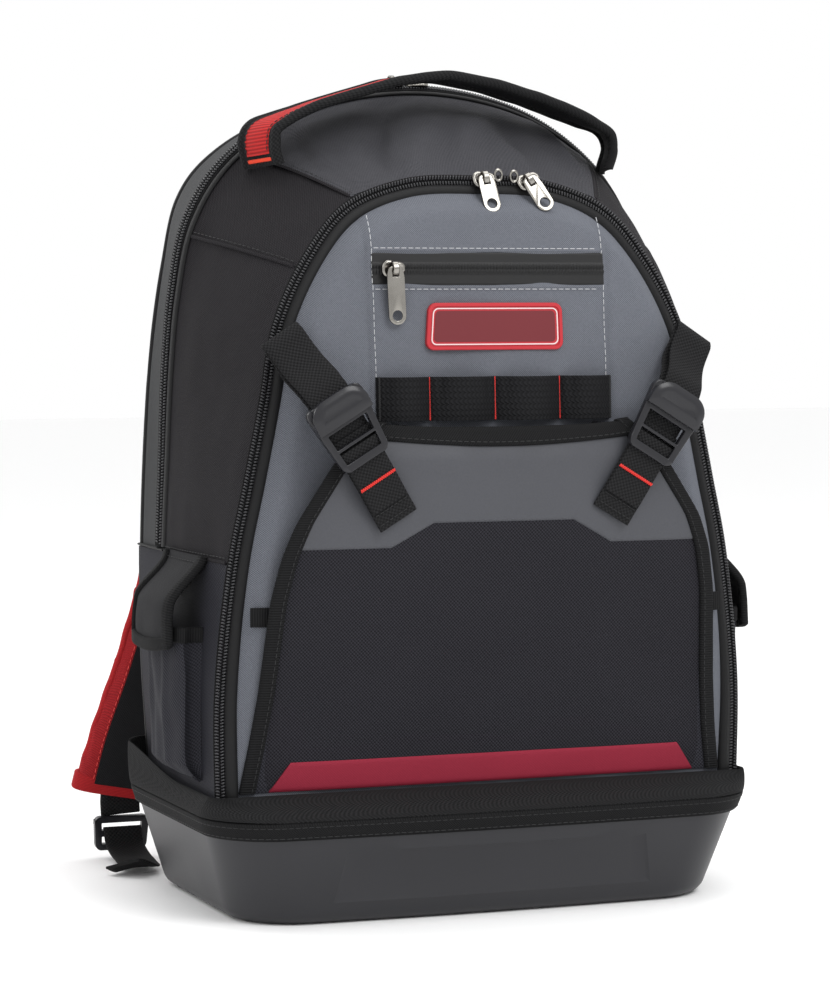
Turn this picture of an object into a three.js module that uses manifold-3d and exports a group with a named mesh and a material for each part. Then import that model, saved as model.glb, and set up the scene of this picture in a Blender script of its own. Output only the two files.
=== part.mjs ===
// A tool backpack: a moulded plastic tray carries a zipped cloth bag with a padded back, a front
// pocket held by two buckled straps, two side pouches, a carrying handle and two shoulder straps.
// Millimetres. X runs to the right seen from the front, Y runs from the front to the back, Z is up.
// The origin is the middle of the tray's flat underside.
import * as THREE from 'three';
import { mergeVertices } from 'three/addons/utils/BufferGeometryUtils.js';
import Module from 'manifold-3d';

const wasm = await Module();
wasm.setup();

// Overall sizes of the bag's body
const bagWidth = 330;
const bagHeight = 482;
const frontHeight = bagHeight - 55;
const backHeight = bagHeight - 8;
const bagDepth = 166;
const frontY = -82;
const frontLean = 15;
const gussetPuff = 4;
const cloth = 1.6;
const gap = 0.3;

// The tray and the two bands sewn round its rim
const tray = {
  height: 62,
  floorWidth: bagWidth - 32,
  floorDepth: bagDepth + 18,
  rimWidth: bagWidth + 6,
  rimDepth: bagDepth + 38,
  rimShift: -5,
  corner: 37,
  wall: 3,
  bow: 5,
  edge: 7,
  panelWidth: 190,
  panelDent: 1,
};
const tapeHeight = 11;
const tapeThickness = 2.2;
const webbingRise = 13;
const webbingBackRise = 12;
const webbingThickness = 2.4;

// Zips, piping and padding
const zipWidth = 5.5;
const zipThickness = 3.2;
const pipingWidth = 8;
const pipingHeight = 3.4;
const rearZipShare = 0.7;
const rearZipWidth = 9;
const rearPipingWidth = 6;
const foam = 7;
const backPadding = 13;
const backEdge = 2.5;

// Front panel and what is sewn to it
const panelProud = 2;
const panelCrown = 12;
const panelEdgeRun = 28;
const pocketHalf = 152;
const pocketHeight = 211;
const pocketBulge = 32;
const pocketSag = 5;
const pocketWall = 2;
const yokeSeam = { low: 0.66, high: 0.725, innerHalf: 43, outerHalf: 68 };
const bindingWidth = 8;
const bindingThickness = 1.5;
const stripe = { height: 17, footHalf: 133, topHalf: 121 };
const zipTape = { half: 72, height: 19, z: 373, thickness: 1.4 };
const badge = { half: 42, height: 27, x: 2, z: 340, thickness: 2.4, corner: 5 };
const toolLoops = { half: 73, height: 25, z: 299, bulge: 10, pitch: 40.4, seam: 0.8 };
const tab = { height: 11, z: 177, thickness: 1.5 };

// Webbing, buckles and straps
const webbing = 25;
const webbingStrap = 1.6;
const buckle = { width: webbing + 13, length: 42, thickness: 5, bar: 5, slot: webbing + 2 };
const cinchTilt = 0.517;
const cinchFoot = { x: 66, z: 232, y: -115.9 };
const cinchLength = 118;
const handle = {
  width: 38,
  coverWidth: 25,
  thickness: 3,
  coverThickness: 1.4,
  y: -8,
  rise: bagHeight + 8,
  halfSpan: bagWidth / 3,
  footShare: 0.8833,
};
const strap = { width: 58, thickness: 12, spread: bagWidth / 2 - 12, swing: 62 };
const strapLoop = 9;
const ladder = { width: webbing + 11, length: 22, thickness: 4, bar: 4, slot: webbing + 2 };
const pouch = { front: -58, back: 12, depth: 17, top: 168, wall: 1.8, flapDrop: 54, flapTop: 209 };

// Zip sliders and their pulls
const slider = { width: 8.5, length: 10, thickness: 2.4, pin: 0.8, pinHeight: 2.4, cheek: 1.4 };
const pull = { width: 10.5, thickness: 1.4, head: 2, hole: 1.15 };
const longPull = 32;
const shortPull = 22;
const frontSliders = [
  { name: 'left', x: 4, swing: 0.1, lift: 1.5, lean: 0.4 },
  { name: 'right', x: 32, swing: 0.5, lift: 2, lean: 0.46 },
];
const rearSliders = [{ name: 'left', x: -14 }, { name: 'right', x: 4 }];

const { lerp, clamp, smoothstep } = THREE.MathUtils;
const V = (x, y, z) => new THREE.Vector3(x, y, z);
const group = new THREE.Group();

const finishes = {
  plastic: { color: 0x3e3e41, roughness: 0.45 },
  trim: { color: 0x1c1c1e, roughness: 0.8 },
  fabric: { color: 0x2d2d30, roughness: 0.9 },
  grey: { color: 0x6b6e75, roughness: 0.85 },
  coated: { color: 0x55565a, roughness: 0.6 },
  foam: { color: 0x3a3b3d, roughness: 0.75 },
  crimson: { color: 0x8c2a3a, roughness: 0.85 },
  red: { color: 0xb8262b, roughness: 0.8 },
  rubber: { color: 0xb5202a, roughness: 0.5 },
  nickel: { color: 0xc8c4ba, roughness: 0.25, metalness: 1 },
};

function add(name, geometry, finish) {
  const mesh = new THREE.Mesh(geometry, new THREE.MeshStandardMaterial(finishes[finish]));
  mesh.name = name;
  group.add(mesh);
  return mesh;
}

// Turns a closed mesh the right way out, whichever way its faces were wound
function faceOutwards(positions, indices) {
  const a = V(0, 0, 0);
  const b = V(0, 0, 0);
  const c = V(0, 0, 0);
  let volume = 0;
  for (let i = 0; i < indices.length; i += 3) {
    a.fromArray(positions, 3 * indices[i]);
    b.fromArray(positions, 3 * indices[i + 1]);
    c.fromArray(positions, 3 * indices[i + 2]);
    volume += a.dot(b.cross(c));
  }
  if (volume < 0) indices.reverse();
  const geometry = new THREE.BufferGeometry();
  geometry.setAttribute('position', new THREE.Float32BufferAttribute(positions, 3));
  geometry.setIndex(indices);
  return geometry;
}

// A wall between two curved faces. Both faces are functions of u and v from 0 to 1, and a ring
// closes on itself in u.
function wall(uSteps, vSteps, outer, inner, ring = false) {
  const columns = ring ? uSteps : uSteps + 1;
  const rows = vSteps + 1;
  const positions = [];
  for (const face of [outer, inner]) {
    for (let i = 0; i < columns; i += 1) {
      for (let j = 0; j < rows; j += 1) positions.push(...face(i / uSteps, j / vSteps));
    }
  }
  const at = (side, i, j) => side * columns * rows + (i % columns) * rows + j;
  const indices = [];
  const quad = (a, b, c, d) => indices.push(a, b, c, a, c, d);
  for (let i = 0; i < uSteps; i += 1) {
    for (let j = 0; j < vSteps; j += 1) {
      quad(at(0, i, j), at(0, i + 1, j), at(0, i + 1, j + 1), at(0, i, j + 1));
      quad(at(1, i, j), at(1, i, j + 1), at(1, i + 1, j + 1), at(1, i + 1, j));
    }
    quad(at(0, i, 0), at(1, i, 0), at(1, i + 1, 0), at(0, i + 1, 0));
    quad(at(0, i, vSteps), at(0, i + 1, vSteps), at(1, i + 1, vSteps), at(1, i, vSteps));
  }
  for (let j = 0; j < vSteps && !ring; j += 1) {
    quad(at(0, 0, j), at(0, 0, j + 1), at(1, 0, j + 1), at(1, 0, j));
    quad(at(0, uSteps, j), at(1, uSteps, j), at(1, uSteps, j + 1), at(0, uSteps, j + 1));
  }
  return faceOutwards(positions, indices);
}

// A full body through a stack of convex rings
function stack(rings) {
  const count = rings[0].length;
  const positions = rings.flat().flatMap((point) => point.toArray());
  const indices = [];
  for (let k = 0; k < rings.length - 1; k += 1) {
    for (let i = 0; i < count; i += 1) {
      const a = k * count + i;
      const b = k * count + (i + 1) % count;
      indices.push(a, b, b + count, a, b + count, a + count);
    }
  }
  const last = (rings.length - 1) * count;
  for (let i = 1; i < count - 1; i += 1) {
    indices.push(0, i + 1, i, last, last + i, last + i + 1);
  }
  return faceOutwards(positions, indices);
}

function toSolid(source) {
  const bare = source.clone();
  bare.deleteAttribute('normal');
  bare.deleteAttribute('uv');
  const geometry = mergeVertices(bare, 1e-4);
  return new wasm.Manifold(new wasm.Mesh({
    numProp: 3,
    vertProperties: new Float32Array(geometry.attributes.position.array),
    triVerts: new Uint32Array(geometry.index.array),
  }));
}

function toGeometry(solid) {
  const mesh = solid.getMesh();
  const geometry = new THREE.BufferGeometry();
  geometry.setAttribute('position', new THREE.Float32BufferAttribute(mesh.vertProperties, 3));
  geometry.setIndex(Array.from(mesh.triVerts));
  return geometry;
}

// A flat outline in X and Z, given as pairs, pulled through the front of the bag
const cutFront = frontY - 90;
const cutBack = frontY + 60;
function through(pairs, front = cutFront, back = cutBack) {
  const shape = new THREE.Shape(pairs.map(([x, z]) => new THREE.Vector2(x, z)));
  const geometry = new THREE.ExtrudeGeometry(shape, { depth: back - front, bevelEnabled: false });
  geometry.rotateX(Math.PI / 2);
  geometry.translate(0, back, 0);
  return toSolid(geometry);
}

// Draws a rectangle with round corners, centred, from its half sizes
function roundedRectangle(path, x, y, r) {
  path.moveTo(-x + r, -y);
  path.lineTo(x - r, -y);
  path.quadraticCurveTo(x, -y, x, -y + r);
  path.lineTo(x, y - r);
  path.quadraticCurveTo(x, y, x - r, y);
  path.lineTo(-x + r, y);
  path.quadraticCurveTo(-x, y, -x, y - r);
  path.lineTo(-x, -y + r);
  path.quadraticCurveTo(-x, -y, -x + r, -y);
}

// Value of one column of a table at a place along another column
function lookUp(rows, key, column, place) {
  let i = 0;
  while (i < rows.length - 2 && rows[i + 1][key] < place) i += 1;
  const share = clamp((place - rows[i][key]) / (rows[i + 1][key] - rows[i][key]), 0, 1);
  return lerp(rows[i][column], rows[i + 1][column], share);
}

// The body's three arches, from the tray's rim to the top. half is a share of half the bag's
// width, height a share of the way from the rim to that arch's top. The third row is the seam
// over the lower side panel.
const frontArch = [
  { half: 0.992, height: 0 },
  { half: 0.994, height: 0.19 },
  { half: 0.945, height: 0.397 },
  { half: 0.891, height: 0.515 },
  { half: 0.827, height: 0.652 },
  { half: 0.776, height: 0.762 },
  { half: 0.655, height: 0.871 },
  { half: 0.497, height: 0.953 },
  { half: 0.26, height: 0.994 },
  { half: 0, height: 1 },
];
const rearArch = [
  { half: 0.986, height: 0 },
  { half: 0.984, height: 0.185 },
  { half: 0.968, height: 0.344 },
  { half: 0.957, height: 0.46 },
  { half: 0.943, height: 0.6 },
  { half: 0.918, height: 0.706 },
  { half: 0.865, height: 0.806 },
  { half: 0.728, height: 0.891 },
  { half: 0.43, height: 0.969 },
  { half: 0, height: 1 },
];
const backArch = [
  { half: 0.93, height: 0 },
  { half: 0.957, height: 0.185 },
  { half: 0.958, height: 0.35 },
  { half: 0.94, height: 0.529 },
  { half: 0.915, height: 0.652 },
  { half: 0.873, height: 0.763 },
  { half: 0.815, height: 0.86 },
  { half: 0.715, height: 0.915 },
  { half: 0.46, height: 0.976 },
  { half: 0, height: 1 },
];
const seamStep = 1 - 2 / (frontArch.length - 1);
const rimZ = tray.height + gap;

function archCurve(rows, top) {
  const right = rows.map((row) => V(row.half * bagWidth / 2, 0, lerp(rimZ, top, row.height)));
  const left = right.slice(0, -1).map((point) => V(-point.x, 0, point.z));
  return new THREE.CatmullRomCurve3([...left, ...right.reverse()]);
}

const arches = [
  { share: 0, curve: archCurve(frontArch, frontHeight) },
  { share: rearZipShare, curve: archCurve(rearArch, bagHeight) },
  { share: 1, curve: archCurve(backArch, backHeight) },
];

// A point of the bag's skin. s runs from -1 at the left foot over the top to 1 at the right foot,
// t from 0 at the front zip to 1 at the back, and out is the distance off the skin.
function skin(s, t, out = 0) {
  const half = (step) => {
    const before = t <= rearZipShare ? 0 : 1;
    const [a, b] = [arches[before], arches[before + 1]];
    const share = (t - a.share) / (b.share - a.share);
    const u = clamp((step + 1) / 2, 0, 1);
    return a.curve.getPoint(u).lerp(b.curve.getPoint(u), share);
  };
  const step = 0.004;
  const point = half(s);
  const along = half(Math.min(s + step, 1)).sub(half(Math.max(s - step, -1))).normalize();
  const puff = t < rearZipShare ? gussetPuff * Math.sin(Math.PI * t / rearZipShare) : 0;
  const rise = (point.z - rimZ) / (frontHeight - rimZ);
  point.x -= along.z * (out + puff * smoothstep(rise, 0.1, 0.5));
  point.z += along.x * (out + puff * smoothstep(rise, 0.1, 0.5));
  const lean = frontLean * Math.max(0, (rise - 0.6) / 0.4) ** 1.5;
  point.y = frontY + bagDepth * t + lean * Math.max(0, 1 - t / rearZipShare);
  return point;
}

// Half the width of the front arch at a height, and the plane of the front zip there
const frontSide = Array.from({ length: 41 }, (_, i) => skin(i / 40, 0)).reverse();
function frontHalf(z) {
  return lookUp(frontSide, 'z', 'x', z);
}
function frontPlane(z) {
  return lookUp(frontSide, 'z', 'y', z);
}
const frontTop = frontSide.toReversed();

// Front of the grey panel, which stands proud of the zip and crowns away from its edge
function panelFront(x, z) {
  const beside = frontHalf(z) - Math.abs(x);
  const below = lookUp(frontTop, 'x', 'z', Math.abs(x)) - z;
  const edge = clamp(Math.min(beside, below) / panelEdgeRun, 0, 1);
  const rise = smoothstep(z, rimZ, rimZ + pocketHeight * 0.6);
  return frontPlane(z) - panelProud - panelCrown * rise * (1 - (1 - edge) ** 2);
}

// A wall that lies on the front: its two faces are depths over a rectangle in X and Z
function frontWall(x0, x1, z0, z1, xSteps, zSteps, front, back) {
  const at = (depth) => (u, v) => {
    const x = lerp(x0, x1, u);
    const z = lerp(z0, z1, v);
    return [x, depth(x, z), z];
  };
  return wall(xSteps, zSteps, at(front), at(back));
}

// A ring with rounded corners in plan. Its corners are given from the back right, and the bow
// swells its front side.
const ringCorner = 6;
const ringSide = 3;
function planRing(halfX, halfY, shift, z, radii, bow = 0) {
  const corners = [[1, 1], [-1, 1], [-1, -1], [1, -1]];
  const arc = (quarter, share) => {
    const [sx, sy] = corners[quarter % 4];
    const radius = radii[quarter % 4];
    const angle = (quarter + share) * Math.PI / 2;
    return V(sx * (halfX - radius) + radius * Math.cos(angle),
      shift + sy * (halfY - radius) + radius * Math.sin(angle), z);
  };
  const points = [];
  for (let quarter = 0; quarter < 4; quarter += 1) {
    for (let i = 0; i <= ringCorner; i += 1) points.push(arc(quarter, i / ringCorner));
    const next = arc(quarter + 1, 0);
    for (let i = 1; i < ringSide; i += 1) {
      points.push(arc(quarter, 1).lerp(next, i / ringSide));
    }
  }
  for (const point of points) {
    if (point.y < shift) point.y -= bow * Math.max(0, 1 - (point.x / halfX) ** 2);
  }
  return points;
}

// Tray: rings that widen from the floor to the rim, with a shallow dent across the front face
function trayRing(z, inset) {
  const share = clamp(z / tray.height, 0, 1);
  const halfX = lerp(tray.floorWidth, tray.rimWidth, share) / 2 - inset;
  const halfY = lerp(tray.floorDepth, tray.rimDepth, share) / 2 - inset;
  const radii = Array(4).fill(tray.corner - inset);
  return planRing(halfX, halfY, tray.rimShift * share, z, radii, tray.bow);
}

function dentedRing(z, inset) {
  const dent = smoothstep(z, 12, 16) * (1 - smoothstep(z, 40, 44));
  return trayRing(z, inset).map((point) => {
    if (point.y < 0 && Math.abs(point.x) < tray.panelWidth / 2) point.y += tray.panelDent * dent;
    return point;
  });
}

const trayOuter = [[0, tray.edge], [1.5, 3], [tray.edge, 0], [12, 0], [16, 0], [40, 0], [44, 0]];
const outerRings = [...trayOuter, [tray.height, 0]].map(([z, inset]) => dentedRing(z, inset));
const innerRings = [[tray.wall, tray.edge + tray.wall], [tray.edge + tray.wall, tray.wall]];
const hollowRings = [...innerRings, [tray.height + 1, tray.wall]].map(
  ([z, inset]) => trayRing(z, inset),
);
add('tray', toGeometry(toSolid(stack(outerRings)).subtract(toSolid(stack(hollowRings)))), 'plastic');

// Sewn tape round the rim, and the ribbed webbing that slopes in from it to the foot of the bag
const ringSteps = 4 * (ringCorner + ringSide);
function ringPoint(ring, u) {
  return ring[Math.round(u * ringSteps) % ring.length];
}
function ringWall(low, high, thickness) {
  const [outerLow, outerHigh] = [low(thickness), high(thickness)];
  const [innerLow, innerHigh] = [low(0), high(0)];
  const between = (a, b) => (u, v) => ringPoint(a, u).clone().lerp(ringPoint(b, u), v).toArray();
  return wall(ringSteps, 1, between(outerLow, outerHigh), between(innerLow, innerHigh), true);
}
const tapeRing = (z) => (out) => trayRing(z, -gap - out);
add('base_tape', ringWall(tapeRing(tray.height - tapeHeight), tapeRing(tray.height), tapeThickness),
  'trim');

const foot = {
  half: bagWidth / 2 + gap,
  front: frontY - panelProud - pipingHeight - 1.2,
  back: frontY + bagDepth + backPadding + gap,
  frontCorner: 6,
  backCorner: 21,
};
function footRing(out) {
  const depth = (foot.back - foot.front) / 2;
  const corner = [foot.backCorner, foot.backCorner, foot.frontCorner, foot.frontCorner];
  const ring = planRing(foot.half + out, depth + out, (foot.front + foot.back) / 2, 0,
    corner.map((radius) => radius + out));
  for (const point of ring) {
    const back = smoothstep(point.y, frontY + bagDepth / 3, foot.back);
    point.z = tray.height + webbingRise + webbingBackRise * back;
  }
  return ring;
}
const bandFoot = (out) => trayRing(tray.height, -gap - out).map(
  (point) => point.setZ(tray.height + gap),
);
add('base_webbing', ringWall(bandFoot, footRing, webbingThickness), 'trim');

// Main body: lower side panels, the gusset between the two zips, and the foam shell at the back
const archSteps = 28;
const zipT = zipThickness / bagDepth;
const gussetEnd = rearZipShare - (rearPipingWidth + rearZipWidth / 2) / bagDepth;
function band(s0, s1, t0, t1, sSteps, tSteps, out, depth) {
  const face = (offset) => (u, v) => {
    const t = lerp(t0, t1, v);
    return skin(lerp(s0, s1, u), t, out - offset).toArray();
  };
  return wall(sSteps, tSteps, face(0), face(depth));
}
const seamGap = 0.002;
const edgeGap = gap / bagDepth;
const frontEdge = zipT / 2 + edgeGap;
add('gusset', band(-seamStep, seamStep, frontEdge, gussetEnd, archSteps, 5, 0, cloth), 'fabric');
for (const [side, name] of [[-1, 'left'], [1, 'right']]) {
  const from = side * (seamStep + seamGap);
  add(`lower_side_${name}`, band(from, side, frontEdge, 1 - edgeGap, 4, 6, 0, cloth), 'fabric');
}
const pipingT = rearPipingWidth / bagDepth;
add('rear_piping', band(-seamStep, seamStep, gussetEnd + edgeGap, gussetEnd + pipingT - edgeGap,
  archSteps, 1, 1.5, 4), 'trim');
const zipEnd = gussetEnd + pipingT + rearZipWidth / bagDepth;
add('rear_zip', band(-seamStep, seamStep, gussetEnd + pipingT, zipEnd, archSteps, 1, 1,
  zipThickness), 'trim');
add('rear_shell', band(-seamStep, seamStep, zipEnd + edgeGap, 1 - edgeGap, archSteps, 3, 0, foam),
  'foam');

// Padded back panel, closed behind the shell, crowned towards the wearer
const backOutline = (out) => Array.from({ length: archSteps + 1 }, (_, i) => {
  const point = skin(lerp(-1, 1, i / archSteps), 1, out);
  return [point.x, point.z];
});
const backPlane = frontY + bagDepth;
const backSide = Array.from({ length: 41 }, (_, i) => skin(i / 40, 1)).reverse();
function backFace(x, z) {
  const side = clamp((lookUp(backSide, 'z', 'x', z) - Math.abs(x)) / 34, 0, 1);
  return backPlane + backEdge + (backPadding - backEdge) * (1 - (1 - side) ** 2);
}
const backBlank = frontWall(-bagWidth, bagWidth, rimZ, bagHeight, 16, 14, () => backPlane, backFace);
const backCut = through(backOutline(-gap), backPlane - 1, backPlane + 2 * backPadding);
add('back_panel', toGeometry(toSolid(backBlank).intersect(backCut)), 'foam');

// Front zip and the piping inside it, both running round the front arch
function rim(outOuter, outInner, across, front, back) {
  const face = (depth) => (u, v) => {
    const point = skin(lerp(-1, 1, u), 0, lerp(outOuter, outInner, v));
    return [point.x, point.y + depth(v), point.z];
  };
  return wall(archSteps, across, face(front), face(back));
}
add('front_zip', rim(0, -zipWidth, 1, () => -zipThickness / 2, () => zipThickness / 2), 'trim');
const pipingInner = -zipWidth - gap - pipingWidth;
add('front_piping', rim(-zipWidth - gap, pipingInner, 3,
  (v) => -1 - pipingHeight * Math.sin(Math.PI * v), () => zipThickness / 2), 'trim');

// Grey front panel inside the piping
const frontOutline = (out) => Array.from({ length: 2 * archSteps + 1 }, (_, i) => {
  const point = skin(lerp(-1, 1, i / archSteps / 2), 0, out);
  return [point.x, point.z];
});
const panelBack = (x, z) => panelFront(x, z) + cloth;
const panelHalf = bagWidth / 2;
const panelBlank = frontWall(-panelHalf, panelHalf, rimZ, frontHeight, 18, 13, panelFront, panelBack);
const panelCut = through(frontOutline(pipingInner - gap));
add('front_panel', toGeometry(toSolid(panelBlank).intersect(panelCut)), 'grey');

const behindPanel = toSolid(frontWall(-panelHalf, panelHalf, rimZ, frontHeight, 18, 13,
  (x, z) => panelFront(x, z) - gap, () => frontY + 70));

// A piece of cloth sewn flat on the front panel
function patch(name, x0, x1, z0, z1, thickness, finish, xSteps = 6, zSteps = 2) {
  const raise = (depth) => (x, z) => panelFront(x, z) - gap - depth;
  add(name, frontWall(x0, x1, z0, z1, xSteps, zSteps, raise(thickness), raise(0)), finish);
}
patch('pocket_zip', -zipTape.half, zipTape.half, zipTape.z - zipTape.height / 2,
  zipTape.z + zipTape.height / 2, zipTape.thickness, 'trim');

// Blank rubber badge with rounded corners
const badgeShape = new THREE.Shape();
const badgeTop = badge.height / 2;
roundedRectangle(badgeShape, badge.half, badgeTop, badge.corner);
const badgePairs = badgeShape.getPoints(3).map((point) => [point.x + badge.x, point.y + badge.z]);
const badgeBlank = frontWall(badge.x - badge.half, badge.x + badge.half, badge.z - badgeTop,
  badge.z + badgeTop, 6, 2, (x, z) => panelFront(x, z) - gap - badge.thickness,
  (x, z) => panelFront(x, z) - gap);
add('badge', toGeometry(toSolid(badgeBlank).intersect(through(badgePairs))),
  'rubber');

// One strip of webbing tacked down between four tool loops
function loopFront(x, z) {
  const place = (x - toolLoops.seam) / toolLoops.pitch;
  const ends = toolLoops.half / toolLoops.pitch;
  const cell = Math.floor(place);
  const start = Math.max(cell, -ends);
  const width = Math.min(cell + 1, ends) - start;
  const arc = Math.sin(Math.PI * clamp((place - start) / width, 0, 1));
  return panelFront(x, z) - gap - webbingStrap - toolLoops.bulge * Math.abs(arc) ** 0.8;
}
const loopBase = toolLoops.z - toolLoops.height / 2;
add('tool_loops', frontWall(-toolLoops.half + toolLoops.seam, toolLoops.half + toolLoops.seam, loopBase,
  loopBase + toolLoops.height, 48, 1, loopFront, (x, z) => loopFront(x, z) + webbingStrap), 'trim');

// Front pocket. half is a share of pocketHalf and out a share of pocketBulge, up the pocket.
const pocketRows = [
  { height: 0, half: 0.985, out: 0.14 },
  { height: 0.13, half: 0.955, out: 0.27 },
  { height: 0.27, half: 0.93, out: 0.44 },
  { height: 0.52, half: 0.9, out: 0.72 },
  { height: 0.64, half: 0.865, out: 0.87 },
  { height: 0.73, half: 0.815, out: 0.96 },
  { height: 0.9, half: 0.66, out: 1 },
  { height: 1, half: 0.515, out: 0.9 },
];
const pocketFoot = tray.height + webbingRise + 1;
const pocketTop = pocketFoot + pocketHeight;
function pocketFace(x, z) {
  const share = clamp((z - pocketFoot) / pocketHeight, 0, 1);
  return frontY - pocketBulge * lookUp(pocketRows, 'height', 'out', share);
}
function pocketOutline(inset, footZ, top) {
  const side = pocketRows.map((row) => [
    row.half * pocketHalf - inset,
    pocketFoot + row.height * pocketHeight,
  ]);
  side[0][1] = footZ;
  const last = side.at(-1);
  const lip = [0.75, 0.5, 0.25, 0].map((share) => [
    last[0] * share,
    top - pocketSag * (1 - share * share),
  ]);
  last[1] = top;
  const right = [...side, ...lip];
  return [...right, ...right.slice(0, -1).reverse().map(([x, z]) => [-x, z])];
}
const pocketBlank = frontWall(-panelHalf, panelHalf, pocketFoot - 1, pocketTop + 1, 12, 12,
  pocketFace,
  (x, z) => Math.max(frontPlane(z) - pipingHeight - 1.5, pocketFace(x, z) + pocketWall));
const pocketInside = frontWall(-panelHalf, panelHalf, pocketFoot + pocketWall, pocketTop + 2, 12, 12,
  (x, z) => pocketFace(x, z) + pocketWall, () => frontY + 40);
const pocketShell = toSolid(pocketBlank)
  .intersect(through(pocketOutline(0, pocketFoot, pocketTop)))
  .subtract(toSolid(pocketInside)
    .intersect(through(pocketOutline(pocketWall, pocketFoot + pocketWall, pocketTop + 20))))
  .subtract(behindPanel);
function yokeOutline(shift, top) {
  const low = pocketFoot + yokeSeam.low * pocketHeight + shift;
  const high = pocketFoot + yokeSeam.high * pocketHeight + shift;
  const right = [[panelHalf, top], [panelHalf, low], [yokeSeam.outerHalf, low],
    [yokeSeam.innerHalf, high]];
  return [...right, ...right.slice().reverse().map(([x, z]) => [-x, z])];
}
const yokeCut = through(yokeOutline(gap / 2, pocketTop + 20));
const bodyCut = through(yokeOutline(-gap / 2, pocketTop + 21));
const yoke = pocketShell.intersect(yokeCut);
const body = pocketShell.subtract(bodyCut);
add('pocket_yoke', toGeometry(yoke), 'coated');
add('pocket_body', toGeometry(body), 'fabric');

// Short tabs between the pocket's sides and the piping
for (const [side, name] of [[-1, 'left'], [1, 'right']]) {
  const share = (tab.z - tab.height - pocketFoot) / pocketHeight;
  const inner = pocketHalf * lookUp(pocketRows, 'height', 'half', share) + gap;
  const outer = frontHalf(tab.z) + pipingInner - 1;
  const ends = [side * inner, side * outer].sort((a, b) => a - b);
  patch(`tab_${name}`, ...ends, tab.z - tab.height / 2, tab.z + tab.height / 2, tab.thickness,
    'trim', 2, 1);
}

// Crimson stripe along the pocket's foot, and the binding round its other edges
const layer = (depth, thickness) => frontWall(-panelHalf, panelHalf, pocketFoot - 1,
  pocketTop + 1, 12, 12, (x, z) => pocketFace(x, z) - depth - thickness,
  (x, z) => pocketFace(x, z) - depth);
const stripeTop = pocketFoot + stripe.height;
const stripePairs = [[-stripe.footHalf, pocketFoot], [stripe.footHalf, pocketFoot],
  [stripe.topHalf, stripeTop], [-stripe.topHalf, stripeTop]];
const stripeBlank = toSolid(layer(gap, 1));
add('pocket_stripe', toGeometry(stripeBlank.intersect(through(stripePairs))), 'crimson');
const bindingOuter = through(pocketOutline(0, pocketFoot, pocketTop));
const bindingInner = through(pocketOutline(bindingWidth, pocketFoot - 9, pocketTop - bindingWidth));
const bindingBlank = toSolid(layer(gap, bindingThickness));
add('pocket_binding', toGeometry(bindingBlank.intersect(bindingOuter).subtract(bindingInner)), 'trim');

// A flat strip along a smooth line, with its width along a given direction
function ribbon(points, across, width, thickness, steps, lift = 0) {
  const curve = new THREE.CatmullRomCurve3(points, false, 'centripetal');
  const face = (side) => (u, v) => {
    const along = curve.getTangent(u);
    const wide = across(u).clone().addScaledVector(along, -across(u).dot(along)).normalize();
    const out = wide.clone().cross(along).normalize();
    return curve.getPoint(u)
      .addScaledVector(wide, (v - 0.5) * width)
      .addScaledVector(out, side * thickness / 2 + lift).toArray();
  };
  return wall(steps, 1, face(1), face(-1));
}

// A moulded ladder buckle: a rounded frame with two slots either side of its middle bar
function ladderBuckle({ width, length, thickness, bar, slot }) {
  const shape = new THREE.Shape();
  roundedRectangle(shape, width / 2, length / 2, bar);
  const frame = new THREE.ExtrudeGeometry(shape, { depth: thickness, bevelEnabled: false });
  const slotDepth = (length - 3 * bar) / 2;
  let solid = toSolid(frame.translate(0, 0, -thickness / 2));
  for (const end of [-1, 1]) {
    const hole = new THREE.BoxGeometry(slot, slotDepth, 2 * thickness);
    solid = solid.subtract(toSolid(hole.translate(0, end * (slotDepth + bar) / 2, 0)));
  }
  return toGeometry(solid);
}

function place(geometry, centre, wide, long) {
  const x = wide.clone().normalize();
  const y = long.clone().addScaledVector(x, -long.dot(x)).normalize();
  const basis = new THREE.Matrix4().makeBasis(x, y, x.clone().cross(y));
  return geometry.applyMatrix4(basis).translate(centre.x, centre.y, centre.z);
}

// Two straps that hold the pocket shut: webbing sewn to the pocket, a ladder buckle, and webbing
// that runs up to the piping
const fall = V(Math.sin(cinchTilt), 0, -Math.cos(cinchTilt));
const spread = V(Math.cos(cinchTilt), 0, Math.sin(cinchTilt));
for (const [side, name] of [[-1, 'left'], [1, 'right']]) {
  const mirror = V(-side, 1, 1);
  const at = (distance, y) => V(-cinchFoot.x, y, cinchFoot.z)
    .addScaledVector(fall, -distance).multiply(mirror);
  const across = spread.clone().multiply(mirror);
  const y = cinchFoot.y;
  add(`pocket_strap_${name}`, ribbon([at(0, y), at(30, y - 0.5), at(56, y - 1)], () => across,
    webbing, webbingStrap, 4), 'trim');
  const buckleY = y - webbingStrap - buckle.thickness / 2 - gap;
  add(`pocket_buckle_${name}`, place(ladderBuckle(buckle), at(60, buckleY), across,
    at(1, 0).sub(at(0, 0))), 'plastic');
  const over = (distance) => {
    const point = at(distance, 0);
    const reach = (shift) => panelFront(point.x + shift, point.z);
    return at(distance, Math.min(reach(-webbing / 2), reach(0), reach(webbing / 2)) - 3);
  };
  add(`piping_strap_${name}`, ribbon([at(58, y - 0.4), at(74, y + 0.4), at(88, y + 9), over(100),
    over(cinchLength)], () => across, webbing, webbingStrap, 8), 'trim');
}

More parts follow.
